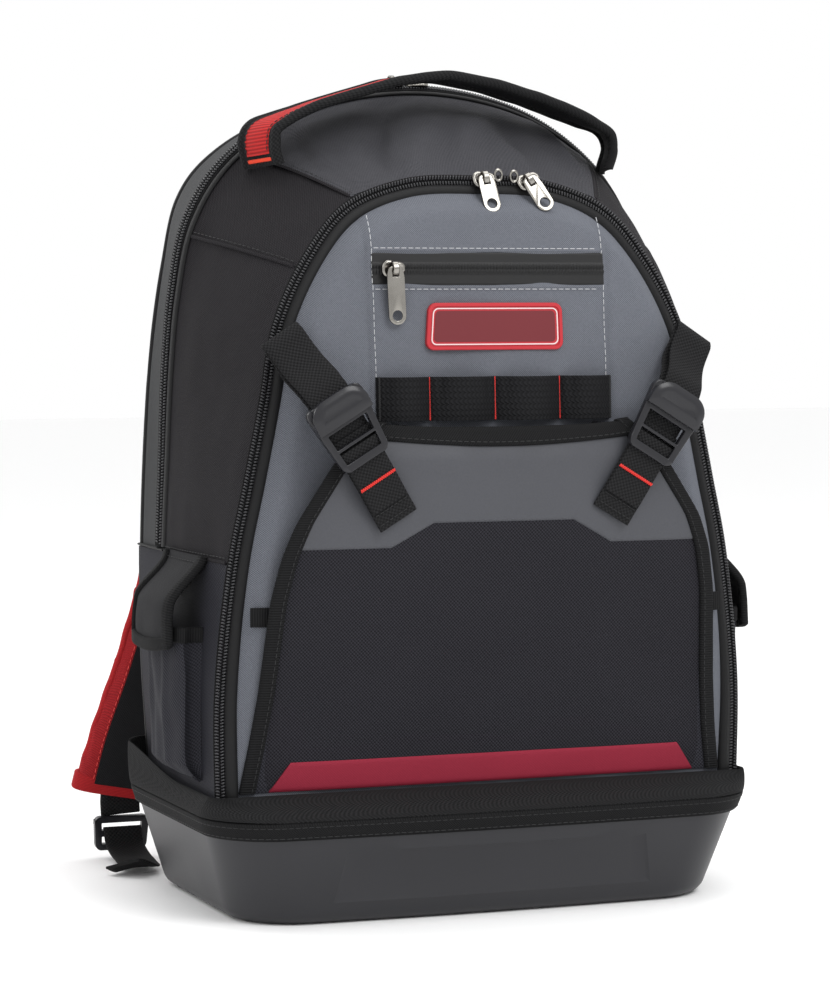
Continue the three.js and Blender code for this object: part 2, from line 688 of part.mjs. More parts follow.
// Carrying handle: black webbing with a narrower red cover on its outer face. x is a share of
// half the handle's span, z a share of the rise from its feet to its top.
const handleRows = [
  { x: 1.015, z: 0.25 },
  { x: 0.99, z: 0.4 },
  { x: 0.87, z: 0.54 },
  { x: 0.71, z: 0.66 },
  { x: 0.49, z: 0.81 },
  { x: 0.25, z: 0.93 },
  { x: 0, z: 1 },
];
const handleT = (handle.y - frontY - frontLean * 0.4) / bagDepth;
function seatOnSkin(t, z, out) {
  let best = skin(0.5, t, out);
  let place = 0.5;
  for (let s = 0.1; s < 0.6; s += 0.002) {
    const point = skin(s, t, out);
    if (Math.abs(point.z - z) < Math.abs(best.z - z)) {
      best = point;
      place = s;
    }
  }
  return { point: best, s: place };
}
const handleOut = handle.thickness / 2 + gap + 3;
const handleFoot = lerp(rimZ, bagHeight, handle.footShare);
const handleSeat = seatOnSkin(handleT, handleFoot, handleOut);
const handleStep = 0.06;
const seatSlope = skin(handleSeat.s, handleT + handleStep).sub(
  skin(handleSeat.s, handleT - handleStep),
).normalize();
const handleTop = handle.rise - handle.thickness / 2 - handle.coverThickness - gap;
const handleRight = [handleSeat.point, ...handleRows.map((row) => V(
  row.x * handle.halfSpan, handle.y, lerp(handleFoot, handleTop, row.z),
))];
const handleLeft = handleRight.slice(0, -1).map((point) => V(-point.x, point.y, point.z));
const handleLine = [...handleLeft, ...handleRight.reverse()];
const handleAcross = (u) => {
  const side = Math.sign(u - 0.5);
  const seat = V(side * seatSlope.x, seatSlope.y, seatSlope.z);
  return seat.lerp(V(0, 1, 0), smoothstep(0.5 - Math.abs(u - 0.5), 0, 0.3)).normalize();
};
add('handle_webbing', ribbon(handleLine, handleAcross, handle.width, handle.thickness, 32), 'trim');
const coverLift = (handle.thickness + handle.coverThickness) / 2 + 3 * gap;
add('handle_cover', ribbon(handleLine, handleAcross, handle.coverWidth, handle.coverThickness, 32,
  -coverLift), 'red');

// Shoulder straps hang behind the back. Rows run from the top seam to the foot: x is a share of
// the strap's spread, y a share of its swing behind the back, z a share of the way up the back.
const strapRows = [
  { x: 0.31, y: 0, z: 0.9 },
  { x: 0.34, y: 0.03, z: 0.85 },
  { x: 0.42, y: 0.24, z: 0.79 },
  { x: 0.52, y: 0.43, z: 0.7 },
  { x: 0.66, y: 0.42, z: 0.57 },
  { x: 0.745, y: 0.26, z: 0.41 },
  { x: 0.805, y: 0.19, z: 0.3 },
  { x: 0.88, y: 0.42, z: 0.17 },
  { x: 0.955, y: 0.8, z: 0.04 },
  { x: 0.995, y: 1, z: -0.05 },
];
const strapStart = backPlane + backPadding + gap + strap.thickness / 2 + 0.6;
for (const [side, name] of [[-1, 'left'], [1, 'right']]) {
  const line = strapRows.map((row) => V(side * row.x * strap.spread, strapStart + row.y * strap.swing,
    lerp(rimZ, backHeight, row.z)));
  const acrossStrap = (u) => V(side, 0.12 * smoothstep(u, 0.25, 0.6), 0).normalize();
  add(`shoulder_strap_${name}`, ribbon(line, acrossStrap, strap.width, strap.thickness, 20), 'red');
  const end = line.at(-1);
  const loopTop = V(end.x - side * 4, end.y + 1, end.z - 4.6);
  add(`strap_loop_${name}`, ribbon([loopTop, V(end.x - side * 5, end.y + 3,
    end.z - 4.6 - strapLoop)],
    acrossStrap, webbing, 4, 2), 'trim');
  const lock = V(end.x - side * 5, end.y + 2, end.z - 5.9 - strapLoop - ladder.length / 2);
  add(`strap_buckle_${name}`, place(ladderBuckle(ladder), lock, V(1, 0, 0), V(0, -0.15, 1)),
    'plastic');
  const trayBack = tray.rimShift / 2 + (tray.floorDepth + tray.rimDepth) / 4;
  const webRow = [
    V(lock.x, lock.y - 3, lock.z + 4),
    V(lock.x, lock.y - 9, lock.z - 6),
    V(lock.x + side * 2, lock.y - 38, 4.2),
    V(lock.x + side * 6, trayBack + 12, 3.8),
    V(lock.x + side * 20, trayBack + 1, 8),
  ];
  add(`strap_webbing_${name}`, ribbon(webRow, () => V(1, 0, 0), webbing, webbingStrap, 12), 'trim');
}

// Side pouches with bellows and flaps, sewn on the lower side panels
for (const [side, name] of [[-1, 'left'], [1, 'right']]) {
  const sideX = (y, z) => {
    const t = (y - frontY) / bagDepth;
    let best = skin(seamStep, t, 0);
    for (let i = 0; i <= 24; i += 1) {
      const point = skin(lerp(0.45, 1, i / 24), t, 0);
      if (Math.abs(point.z - z) < Math.abs(best.z - z)) best = point;
    }
    return best.x;
  };
  const sideWall = (y0, y1, z0, z1, ySteps, zSteps, outer, inner) => {
    const at = (depth) => (u, v) => {
      const y = lerp(y0, y1, u);
      const z = lerp(z0, z1, v);
      return [side * depth(y, z, u, v), y, z];
    };
    return wall(ySteps, zSteps, at(outer), at(inner));
  };
  const pouchFoot = tray.height + webbingRise + webbingBackRise * 0.5;
  const crown = (u, v) => pouch.depth * (1 - 0.35 * (2 * u - 1) ** 4) * (0.8 + 0.2 * v);
  const outer = (y, z, u, v) => sideX(y, z) + gap + crown(u, v);
  const blank = toSolid(sideWall(pouch.front, pouch.back, pouchFoot, pouch.top, 6, 5, outer,
    (y, z) => sideX(y, z) + gap));
  const hollow = toSolid(sideWall(pouch.front + pouch.wall, pouch.back - pouch.wall,
    pouchFoot + pouch.wall, pouch.top + 1, 6, 5,
    (y, z, u, v) => outer(y, z, u, v) - pouch.wall, (y, z) => sideX(y, z) + gap + pouch.wall));
  add(`side_pouch_${name}`, toGeometry(blank.subtract(hollow)), 'fabric');
  const flapOut = (y, z, u, v) => sideX(y, z) + 2 * gap
    + (pouch.depth + 4) * (1 - smoothstep(v, 0.45, 1)) * (1 - 0.2 * (2 * u - 1) ** 2);
  add(`pouch_flap_${name}`, sideWall(pouch.front + 2, pouch.back - 2, pouch.flapTop - pouch.flapDrop,
    pouch.flapTop, 6, 6, (y, z, u, v) => flapOut(y, z, u, v) + cloth, flapOut), 'fabric');
}

// Zip sliders and pulls. A slider is a small block whose two cheeks hold a pin, and the pull's
// round head turns on that pin.
function sliderGeometry() {
  const { width, length, thickness, pin, pinHeight, cheek } = slider;
  const block = new THREE.BoxGeometry(width, length, thickness).translate(0, 0, thickness / 2);
  let solid = toSolid(block);
  for (const end of [-1, 1]) {
    const post = new THREE.BoxGeometry(cheek, 2.6, pinHeight + 1.2)
      .translate(end * (width - cheek) / 2, 0, thickness - 0.2 + (pinHeight + 1.2) / 2);
    solid = solid.add(toSolid(post));
  }
  const axle = new THREE.CylinderGeometry(pin, pin, width - cheek, 10)
    .rotateZ(Math.PI / 2).translate(0, 0, thickness + pinHeight);
  return toGeometry(solid.add(toSolid(axle)));
}

function pullGeometry(length) {
  const { width, thickness, head, hole } = pull;
  const headWidth = slider.width - 2 * slider.cheek - 2 * gap;
  const ring = new THREE.CylinderGeometry(head, head, headWidth, 14).rotateZ(Math.PI / 2);
  const neck = new THREE.BoxGeometry(headWidth, 5, thickness).translate(0, -head - 1.7, 0);
  const plate = new THREE.BoxGeometry(width, length - 6, thickness)
    .translate(0, -6 - (length - 6) / 2, 0);
  const slot = new THREE.BoxGeometry(width - 5, 5, 3 * thickness).translate(0, -length + 6, 0);
  const bore = new THREE.CylinderGeometry(hole, hole, headWidth + 2, 12).rotateZ(Math.PI / 2);
  const solid = toSolid(ring).add(toSolid(neck)).add(toSolid(plate));
  return toGeometry(solid.subtract(toSolid(slot)).subtract(toSolid(bore)));
}

// Places a slider and its pull: seat is the point under the slider, out the way that it faces and
// down the way that its pull hangs
function zipSlider(name, seat, out, down, length) {
  const y = down.clone().negate().normalize();
  const z = out.clone().addScaledVector(y, -out.dot(y)).normalize();
  const basis = new THREE.Matrix4().makeBasis(y.clone().cross(z), y, z);
  const pin = seat.clone().addScaledVector(z, slider.thickness + slider.pinHeight);
  add(`${name}_slider`, sliderGeometry().applyMatrix4(basis).translate(...seat), 'nickel');
  add(`${name}_pull`, pullGeometry(length).applyMatrix4(basis).translate(...pin), 'nickel');
}

const pocketZipSeat = V(-zipTape.half + 12, 0, zipTape.z);
pocketZipSeat.y = panelFront(pocketZipSeat.x, pocketZipSeat.z) - gap - zipTape.thickness - 1;
zipSlider('pocket_zip', pocketZipSeat, V(0, -1, 0), V(0.05, 0, -1), longPull);
for (const { name, x, swing, lift, lean } of frontSliders) {
  const z = frontHeight - zipWidth / 2 - 2.2 * (x / 60) ** 2;
  const seat = V(x, frontPlane(z) - zipThickness / 2 - lift, z);
  zipSlider(`front_zip_${name}`, seat, V(0, -1, 0), V(swing, -lean, -1), shortPull);
}
for (const { name, x } of rearSliders) {
  let seat = skin(0, rearZipShare, 1.4);
  for (let s = -0.2; s < 0.2; s += 0.005) {
    const point = skin(s, rearZipShare, 1.4);
    if (Math.abs(point.x - x) < Math.abs(seat.x - x)) seat = point;
  }
  zipSlider(`rear_zip_${name}`, seat, V(0, 0, 1), V(0, 1, -0.2), shortPull);
}

export default group;
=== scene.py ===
"""A tool backpack on a pale floor: a moulded tray carries a zipped cloth bag with a padded back,
a buckled front pocket, side pouches, a carrying handle and two shoulder straps."""
import math

import bmesh
import bpy
import numpy as np
from mathutils import Matrix, Vector, noise


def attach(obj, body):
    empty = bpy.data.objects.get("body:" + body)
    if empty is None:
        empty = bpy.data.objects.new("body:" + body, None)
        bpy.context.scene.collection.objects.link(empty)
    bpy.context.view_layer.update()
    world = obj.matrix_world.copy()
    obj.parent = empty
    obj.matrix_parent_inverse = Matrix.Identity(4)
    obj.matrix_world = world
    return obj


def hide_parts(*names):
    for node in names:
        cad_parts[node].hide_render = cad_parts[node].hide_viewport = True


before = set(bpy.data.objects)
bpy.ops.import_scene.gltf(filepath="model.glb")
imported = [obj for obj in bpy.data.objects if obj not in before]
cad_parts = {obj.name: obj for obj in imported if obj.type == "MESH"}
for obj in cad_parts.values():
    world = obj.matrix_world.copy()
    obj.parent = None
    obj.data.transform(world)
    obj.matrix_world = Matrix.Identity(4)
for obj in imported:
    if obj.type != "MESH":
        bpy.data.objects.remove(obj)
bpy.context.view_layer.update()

# Camera: it stands two metres away, a little to the left of the front and slightly above the
# middle of the bag, with a long lens.
camera_place = Vector((-0.7386, -1.8866, 0.3639))
camera_look = Vector((0.3591, 0.9311, -0.0638))
bpy.ops.object.select_all(action="DESELECT")
bpy.ops.object.camera_add(location=camera_place)
camera = bpy.context.object
camera.rotation_euler = camera_look.to_track_quat("-Z", "Y").to_euler()
camera.data.sensor_width = 36
camera.data.lens = 121.3
bpy.context.scene.camera = camera

# Studio: a pale floor, an even white surround, and soft boxes on both sides, above and behind.
bpy.context.scene.view_settings.view_transform = "Standard"
world = bpy.data.worlds.new("studio")
world.use_nodes = True
world.node_tree.nodes["Background"].inputs["Color"].default_value = (1, 1, 1, 1)
world.node_tree.nodes["Background"].inputs["Strength"].default_value = 1.0
bpy.context.scene.world = world
SOFT_BOXES = [
    {"place": (-1.5, -0.9, 1.1), "size": 1.2, "power": 3.4},
    {"place": (0.5, -1.5, 1.7), "size": 1.1, "power": 26},
    {"place": (0.0, 0.1, 2.0), "size": 1.3, "power": 12},
    {"place": (-0.9, 1.7, 1.2), "size": 1.2, "power": 8},
]
for soft_box in SOFT_BOXES:
    bpy.ops.object.light_add(type="AREA", location=soft_box["place"])
    light = bpy.context.object
    light.data.size = soft_box["size"]
    light.data.energy = soft_box["power"]
    aim = Vector((0, 0, 0.25)) - light.location
    light.rotation_euler = aim.to_track_quat("-Z", "Y").to_euler()
bpy.ops.mesh.primitive_plane_add(size=14, location=(0, 0, -0.0003))
floor = bpy.context.object
floor.name = "floor"
floor_paint = bpy.data.materials.new("floor_paint")
floor_paint.use_nodes = True
floor_shader = floor_paint.node_tree.nodes["Principled BSDF"]
floor_shader.inputs["Base Color"].default_value = (0.96, 0.96, 0.96, 1)
floor_shader.inputs["Roughness"].default_value = 0.6
floor.data.materials.append(floor_paint)


# Tray: one injection moulding in satin charcoal polypropylene. Its walls widen from the floor to
# the rim, its front is slightly bowed and has a shallow panel, and its floor edge is rounded.
class Value:
    """A socket inside a material. Operators on it add Math nodes."""

    def __init__(self, surface, socket):
        self.surface = surface
        self.socket = socket

    def math(self, operation, *terms):
        return self.surface.node("ShaderNodeMath", {"operation": operation}, dict(enumerate(terms)))

    def __add__(self, other):
        return self.math("ADD", self, other)

    def __sub__(self, other):
        return self.math("SUBTRACT", self, other)

    def __rsub__(self, other):
        return self.math("SUBTRACT", other, self)

    def __mul__(self, other):
        return self.math("MULTIPLY", self, other)

    def __abs__(self):
        return self.math("ABSOLUTE", self)

    def sine(self):
        return self.math("SINE", self)

    __radd__ = __add__
    __rmul__ = __mul__


class Surface:
    """A material and the one way in which nodes are added to it"""

    def __init__(self, name):
        self.material = bpy.data.materials.new(name)
        self.material.use_nodes = True
        self.tree = self.material.node_tree
        self.shader = self.tree.nodes["Principled BSDF"]

    def node(self, kind, settings, inputs, output=0):
        node = self.tree.nodes.new(kind)
        for key, value in settings.items():
            setattr(node, key, value)
        for key, value in inputs.items():
            self.feed(node.inputs[key], value)
        return Value(self, node.outputs[output])

    def feed(self, socket, value):
        if isinstance(value, Value):
            self.tree.links.new(value.socket, socket)
        else:
            socket.default_value = value

    def place(self, kind="UV"):
        """The three parts of a place on the piece, in metres"""
        where = self.node("ShaderNodeTexCoord", {}, {}, kind)
        parts = [self.node("ShaderNodeSeparateXYZ", {}, {0: where}, axis) for axis in "XYZ"]
        return where, *parts

    def noise(self, where, scale, detail=2):
        inputs = {"Vector": where, "Scale": scale, "Detail": detail}
        return self.node("ShaderNodeTexNoise", {}, inputs)

    def mix(self, share, low, high):
        """Blends two colours"""
        return self.node("ShaderNodeMix", {"data_type": "RGBA"}, {0: share, 6: low, 7: high}, 2)

    def clouded(self, tone, cloud, low, high):
        """Multiplies a colour by a grey that drifts between two values"""
        grey = self.mix(cloud, (low, low, low, 1), (high, high, high, 1))
        return self.node("ShaderNodeMix", {"data_type": "RGBA", "blend_type": "MULTIPLY"},
                         {0: 1.0, 6: tone, 7: grey}, 2)

    def finish(self, colour, roughness, relief, depth, strength=1.0, **constants):
        """Feeds the shader: relief is a height from 0 to 1 and depth its size in metres"""
        self.feed(self.shader.inputs["Base Color"], colour)
        self.feed(self.shader.inputs["Roughness"], roughness)
        bump = self.node("ShaderNodeBump", {}, {"Height": relief, "Distance": depth,
                                                "Strength": strength})
        self.feed(self.shader.inputs["Normal"], bump)
        for name, value in constants.items():
            self.shader.inputs[name.replace("_", " ")].default_value = value
        return self.material


def rgb(red, green, blue):
    """A shader colour from the 0 to 255 values of a paint sample"""
    return (*(((value / 255 + 0.055) / 1.055) ** 2.4 for value in (red, green, blue)), 1)


def moulded(name, colour, roughness, grain=0.00004):
    """Moulded plastic: fine grain, faint clouds in its gloss and slightly paler flow marks"""
    surface = Surface(name)
    where, *_ = surface.place("Object")
    cloud = surface.noise(where, 14, 3)
    speck = surface.noise(where, 2600, 1)
    tone = surface.mix(cloud, colour, tuple(1.22 * part for part in colour[:3]) + (1,))
    return surface.finish(tone, cloud * 0.12 + (roughness - 0.06), speck, grain, 0.5,
                          Specular_IOR_Level=0.3)


def pick(kind, test):
    """Selects the edges or faces of the mesh in edit mode whose place passes a test"""
    bpy.context.tool_settings.mesh_select_mode = (kind == "verts", kind == "edges", kind == "faces")
    mesh = bmesh.from_edit_mesh(bpy.context.object.data)
    for part in (*mesh.faces, *mesh.edges, *mesh.verts):
        part.select = False
    for part in getattr(mesh, kind):
        part.select = bool(test(part))
    mesh.select_flush_mode()
    bmesh.update_edit_mesh(bpy.context.object.data)


def span(edge, axis):
    """How far an edge reaches along an axis"""
    return abs(edge.verts[0].co[axis] - edge.verts[1].co[axis])


def round_off(offset, segments):
    """Rounds the selected edges, in metres"""
    bpy.ops.mesh.bevel(offset=offset, segments=segments, affect="EDGES", clamp_overlap=False)


def primitive(add, name, scale, place=(0, 0, 0), **options):
    """Adds a primitive, scaled and placed in its mesh, and opens it in edit mode"""
    bpy.ops.object.select_all(action="DESELECT")
    add(location=place, **options)
    obj = bpy.context.object
    obj.name = name
    obj.scale = scale
    bpy.ops.object.transform_apply(location=True, rotation=True, scale=True)
    bpy.ops.object.mode_set(mode="EDIT")
    return obj


def only(obj):
    """Leaves edit mode and selects one object"""
    if bpy.context.object and bpy.context.object.mode == "EDIT":
        bpy.ops.object.mode_set(mode="OBJECT")
    bpy.ops.object.select_all(action="DESELECT")
    obj.select_set(True)
    bpy.context.view_layer.objects.active = obj


def settle(obj, material, slot, *nodes, body="bag", angle=60):
    """Smooths the shading, gives a piece its material, hangs it on the body it rides on and hides
    the CAD nodes it stands for; slot is not used
    """
    only(obj)
    bpy.ops.object.shade_smooth_by_angle(angle=math.radians(angle))
    obj.data.materials.clear()
    obj.data.materials.append(material)
    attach(obj, body)
    if nodes:
        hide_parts(*nodes)
    return obj


TRAY = {"height": 0.062, "floor": (0.298, 0.184), "rim": (0.336, 0.204), "shift": -0.005,
        "corner": 0.037, "wall": 0.003, "bow": 0.005, "edge": 0.007}
TRAY_PANEL = {"half": 0.093, "low": 0.013, "high": 0.043, "dent": 0.0011, "lip": 0.0022}
tray = primitive(bpy.ops.mesh.primitive_cube_add, "tray_moulding",
                 (*TRAY["rim"], TRAY["height"]), (0, TRAY["shift"], TRAY["height"] / 2), size=1)
pick("faces", lambda face: face.normal.z < -0.9)
draft = [low / high for low, high in zip(TRAY["floor"], TRAY["rim"])]
bpy.ops.transform.resize(value=(*draft, 1), center_override=(0, TRAY["shift"], 0))
bpy.ops.transform.translate(value=(0, -TRAY["shift"], 0))
pick("edges", lambda edge: span(edge, 2) > TRAY["height"] / 2)
round_off(TRAY["corner"], 14)
pick("edges", lambda edge: all(vert.co.z < 1e-4 for vert in edge.verts))
round_off(TRAY["edge"], 6)
pick("faces", lambda face: face.normal.y < -0.8 and face.calc_area() > 0.005)
bpy.ops.mesh.inset(thickness=0.01)
tray_mesh = bmesh.from_edit_mesh(tray.data)
for vert in {vert for face in tray_mesh.faces if face.select for vert in face.verts}:
    high = vert.co.z > TRAY["height"] / 2
    vert.co.y += (0.001 if high else -0.001)
    vert.co.x = math.copysign(TRAY_PANEL["half"] + (0 if high else 0.006), vert.co.x)
    vert.co.z = TRAY_PANEL["high" if high else "low"]
bmesh.update_edit_mesh(tray.data)
bpy.ops.mesh.inset(thickness=TRAY_PANEL["lip"], depth=-TRAY_PANEL["dent"])
pick("edges", lambda edge: edge.calc_length() > 0.1
     and all(vert.co.y < -0.05 for vert in edge.verts) and span(edge, 0) > 0.1)
bpy.ops.mesh.subdivide(number_cuts=20)
pick("faces", lambda face: face.normal.z > 0.9)
bpy.ops.mesh.inset(thickness=TRAY["wall"])
bpy.ops.mesh.extrude_region_move(TRANSFORM_OT_translate={"value": (0, 0, 0.012 - TRAY["height"])})
bpy.ops.transform.resize(value=(0.905, 0.915, 1), center_override=(0, TRAY["shift"], 0))
bpy.ops.transform.translate(value=(0, -0.8 * TRAY["shift"], 0))
tray_mesh = bmesh.from_edit_mesh(tray.data)
for vert in tray_mesh.verts:
    share = vert.co.z / TRAY["height"]
    half = (TRAY["floor"][0] * (1 - share) + TRAY["rim"][0] * share) / 2
    if vert.co.y < TRAY["shift"] * share:
        vert.co.y -= TRAY["bow"] * max(0, 1 - (vert.co.x / half) ** 2)
bmesh.update_edit_mesh(tray.data)
settle(tray, moulded("charcoal_plastic", rgb(36, 36, 39), 0.4), "tray_plastic", "tray", angle=30)

# Tape round the rim: a black woven binding, folded over the edge of the cloth and lock-stitched to
# the tray in two rows.
MM = 0.001


def smoothstep(value, low, high):
    share = np.clip((value - low) / (high - low), 0, 1)
    return share * share * (3 - 2 * share)


def plan_ring(half_x, half_y, shift, radii, bow=0.0, corner=24, side=60):
    """A ring with round corners seen from above, anticlockwise from the back right"""
    signs = [(1, 1), (-1, 1), (-1, -1), (1, -1)]

    def arc(quarter, share):
        (sx, sy), radius = signs[quarter % 4], radii[quarter % 4]
        angle = (quarter + share) * math.pi / 2
        return np.array([sx * (half_x - radius) + radius * math.cos(angle),
                         shift + sy * (half_y - radius) + radius * math.sin(angle)])

    points = []
    for quarter in range(4):
        points += [arc(quarter, share) for share in np.linspace(0, 1, corner + 1)]
        start, end = arc(quarter, 1), arc(quarter + 1, 0)
        points += [start + (end - start) * share for share in np.linspace(0, 1, side + 1)[1:-1]]
    points = np.array(points)
    front = points[:, 1] < shift
    points[front, 1] -= bow * np.maximum(0, 1 - (points[front, 0] / half_x) ** 2)
    return points


def tray_ring(z, out, corner=24, side=60):
    """The tray's outline at a height, pushed outwards, in millimetres"""
    share = min(max(z / (TRAY["height"] / MM), 0), 1)
    half = [(low * (1 - share) + high * share) / MM / 2 + out
            for low, high in zip(TRAY["floor"], TRAY["rim"])]
    radii = [TRAY["corner"] / MM + out] * 4
    flat = plan_ring(*half, TRAY["shift"] / MM * share, radii, TRAY["bow"] / MM, corner, side)
    return np.column_stack([flat, np.full(len(flat), float(z))])


def unit(ways):
    return ways / np.linalg.norm(ways, axis=-1, keepdims=True)


def same(way, count):
    """One way, for each of many points"""
    return np.tile(np.array(way, float), (count, 1))


def lengths(line):
    """How far along a line each of its points lies"""
    return np.concatenate([[0], np.cumsum(np.linalg.norm(np.diff(line, axis=0), axis=1))])


def at_lengths(rows, steps, where):
    """Rows that belong to steps along a line, read between them"""
    return np.stack([np.interp(where, steps, rows[:, axis]) for axis in range(3)], -1)


def turns(count):
    """Angles that share a full turn evenly"""
    return np.linspace(0, 2 * math.pi, count + 1)[:-1]


def linked(name, mesh):
    """A new object in the scene"""
    obj = bpy.data.objects.new(name, mesh)
    bpy.context.scene.collection.objects.link(obj)
    return obj


def shell(name, grid, inside, ring=False, loop=False, caps=False, thickness=0.0, upright=False):
    """A sheet or tube through a grid of points in millimetres, facing away from a point inside.
    ring closes its columns and loop its rows. Its UVs are its own lengths in metres, or for an
    upright sheet its x and z."""
    grid = np.asarray(grid, float)
    rows, cols = grid.shape[:2]
    index = np.arange(rows * cols).reshape(rows, cols)
    spread = grid
    if ring:
        index = np.hstack([index, index[:, :1]])
        spread = np.concatenate([spread, spread[:, :1]], 1)
    if loop:
        index = np.vstack([index, index[:1]])
        spread = np.concatenate([spread, spread[:1]], 0)
    across = np.zeros(spread.shape[:2])
    across[:, 1:] = np.cumsum(np.linalg.norm(np.diff(spread, axis=1), axis=2), 1)
    across -= across[:, across.shape[1] // 2][:, None]
    along = np.zeros(spread.shape[:2])
    along[1:] = np.cumsum(np.linalg.norm(np.diff(spread, axis=0), axis=2), 0)
    if upright:
        across, along = spread[:, :, 0], spread[:, :, 2]
    corners = [(slice(None, -1), slice(None, -1)), (slice(None, -1), slice(1, None)),
               (slice(1, None), slice(1, None)), (slice(1, None), slice(None, -1))]
    faces = np.stack([index[corner] for corner in corners], -1).reshape(-1, 4).tolist()
    places = [(across[corner], along[corner]) for corner in corners]
    uvs = np.stack([np.stack(place, -1) for place in places], -2).reshape(-1, 2) * MM
    if caps:
        faces += [index[0, :-1].tolist()[::-1], index[-1, :-1].tolist()]
        ends = np.stack([across[0, :-1], along[0, :-1]], -1) * MM
        uvs = np.concatenate([uvs, ends[::-1], ends])
    mesh = bpy.data.meshes.new(name)
    mesh.from_pydata((grid.reshape(-1, 3) * MM).tolist(), [], faces)
    mesh.uv_layers.new(name="cloth").data.foreach_set("uv", uvs.astype(np.float32).ravel())
    mesh.update()
    middle = Vector(inside) * MM
    facing = sum((face.center - middle).dot(face.normal) * face.area for face in mesh.polygons)
    if facing < 0:
        mesh.flip_normals()
    obj = linked(name, mesh)
    if thickness:
        finish_with(obj, "SOLIDIFY", thickness=thickness * MM, offset=-1)
    return obj


def finish_with(obj, kind, **settings):
    """Adds a modifier and applies it"""
    only(obj)
    modifier = obj.modifiers.new(kind.lower(), kind)
    for key, value in settings.items():
        setattr(modifier, key, value)
    bpy.ops.object.modifier_apply(modifier=modifier.name)


def soften(obj, width, segments, angle):
    """Rounds every edge that is sharper than an angle"""
    finish_with(obj, "BEVEL", width=width * MM, segments=segments, limit_method="ANGLE",
                angle_limit=math.radians(angle))


def threads(name, places, directions, ups, length, radius, sides=6):
    """Many short round-ended threads or zip teeth in one mesh: places in millimetres"""
    shape = [(-0.5, 0.45), (-0.36, 1.0), (0.36, 1.0), (0.5, 0.45)]
    rings = []
    for place, direction, up in zip(places, directions, ups):
        direction = direction / np.linalg.norm(direction)
        side = np.cross(direction, up)
        side /= np.linalg.norm(side)
        top = np.cross(direction, side)
        for share, wide in shape:
            for step in range(sides):
                angle = 2 * math.pi * step / sides
                rings.append(place + direction * length * share
                             + radius * wide * (side * math.cos(angle) + top * math.sin(angle)))
    count = len(shape) * sides
    faces = []
    for start in range(0, len(rings), count):
        for ring in range(len(shape) - 1):
            low = start + ring * sides
            for step in range(sides):
                after = (step + 1) % sides
                faces.append([low + step, low + after, low + sides + after, low + sides + step])
        faces.append([start + step for step in reversed(range(sides))])
        faces.append([start + count - sides + step for step in range(sides)])
    mesh = bpy.data.meshes.new(name)
    mesh.from_pydata((np.array(rings) * MM).tolist(), [], faces)
    mesh.update()
    return linked(name, mesh)


def seam(name, line, ups, material, slot, pitch=4.4, length=3.1, radius=0.28):
    """A row of stitches along a line of points in millimetres"""
    line = np.asarray(line, float)
    ups = np.asarray(ups, float)
    steps = lengths(line)
    places = np.arange(pitch / 2, steps[-1] - pitch / 2, pitch)
    ahead = at_lengths(line, steps, places + 0.5) - at_lengths(line, steps, places - 0.5)
    obj = threads(name, at_lengths(line, steps, places), ahead, at_lengths(ups, steps, places),
                  length, radius)
    return settle(obj, material, slot)


def woven(name, colour, dark, pitch, depth, weave="plain", roughness=0.85, fleck=0.25, **constants):
    """Woven cloth on its own UVs. pitch is one repeat of the weave in metres, and the dark colour
    lies between the threads."""
    surface = Surface(name)
    where, across, along, _ = surface.place("UV")
    turn = 2 * math.pi / pitch
    warp = (across * turn).sine()
    weft = (along * turn).sine()
    if weave == "plain":
        relief = warp * weft * 0.5 + 0.5
    elif weave == "twill":
        slope = ((across + along) * turn).sine()
        relief = slope * 0.32 + warp * weft * 0.18 + 0.5
    elif weave == "rib":
        strand = (across * (3.1 * turn)).sine()
        relief = weft * 0.4 + strand * 0.1 + 0.5
    else:
        chevron = abs((across * (turn / 2)).sine())
        slope = ((along + chevron * (0.55 * pitch)) * (1.25 * turn)).sine()
        relief = slope * 0.28 + chevron * 0.3 + 0.35
    body, *_ = surface.place("Object")
    cloud = surface.noise(body, 9, 3)
    hair = surface.noise(body, 900, 1)
    share = relief * (1 - fleck) + hair * fleck
    tone = surface.clouded(surface.mix(share, dark, colour), cloud, 0.9, 1.12)
    return surface.finish(tone, roughness + cloud * -0.06, relief + hair * 0.3, depth,
                          **{"Specular_IOR_Level": 0.12, **constants})


SIDES = ((-1, "left"), (1, "right"))
BASE = {"tape_low": 51.2, "tape_high": 62.0, "gap": 0.3}
black_tape = woven("black_tape", rgb(29, 29, 30), rgb(9, 9, 10), 0.0015, 0.00028, "rib", 0.8, 0.12)
black_thread = moulded("black_thread", rgb(30, 30, 31), 0.6, 0.00002)
tape_section = [(0, 0.0), (1.3, 0.0), (1.95, 0.07), (2.2, 0.2), (2.3, 0.45), (2.2, 0.6), (2.3, 0.8),
                (2.0, 0.94), (1.2, 1.0), (0, 1.0)]
tape_rows = [tray_ring(BASE["tape_low"] + (BASE["tape_high"] - BASE["tape_low"]) * share,
                       BASE["gap"] + out) for out, share in tape_section]
tape = shell("base_tape_binding", np.stack(tape_rows, 1), (0, 0, 56), ring=True, loop=True)
settle(tape, black_tape, "black_tape", "base_tape")
for row, share in enumerate((0.16, 0.72)):
    line = tray_ring(BASE["tape_low"] + (BASE["tape_high"] - BASE["tape_low"]) * share,
                     BASE["gap"] + 2.15, 30, 80)
    outwards = line * (1, 1, 0)
    seam(f"base_tape_stitches_{row}", line, outwards, black_thread, "black_tape", pitch=4.0)


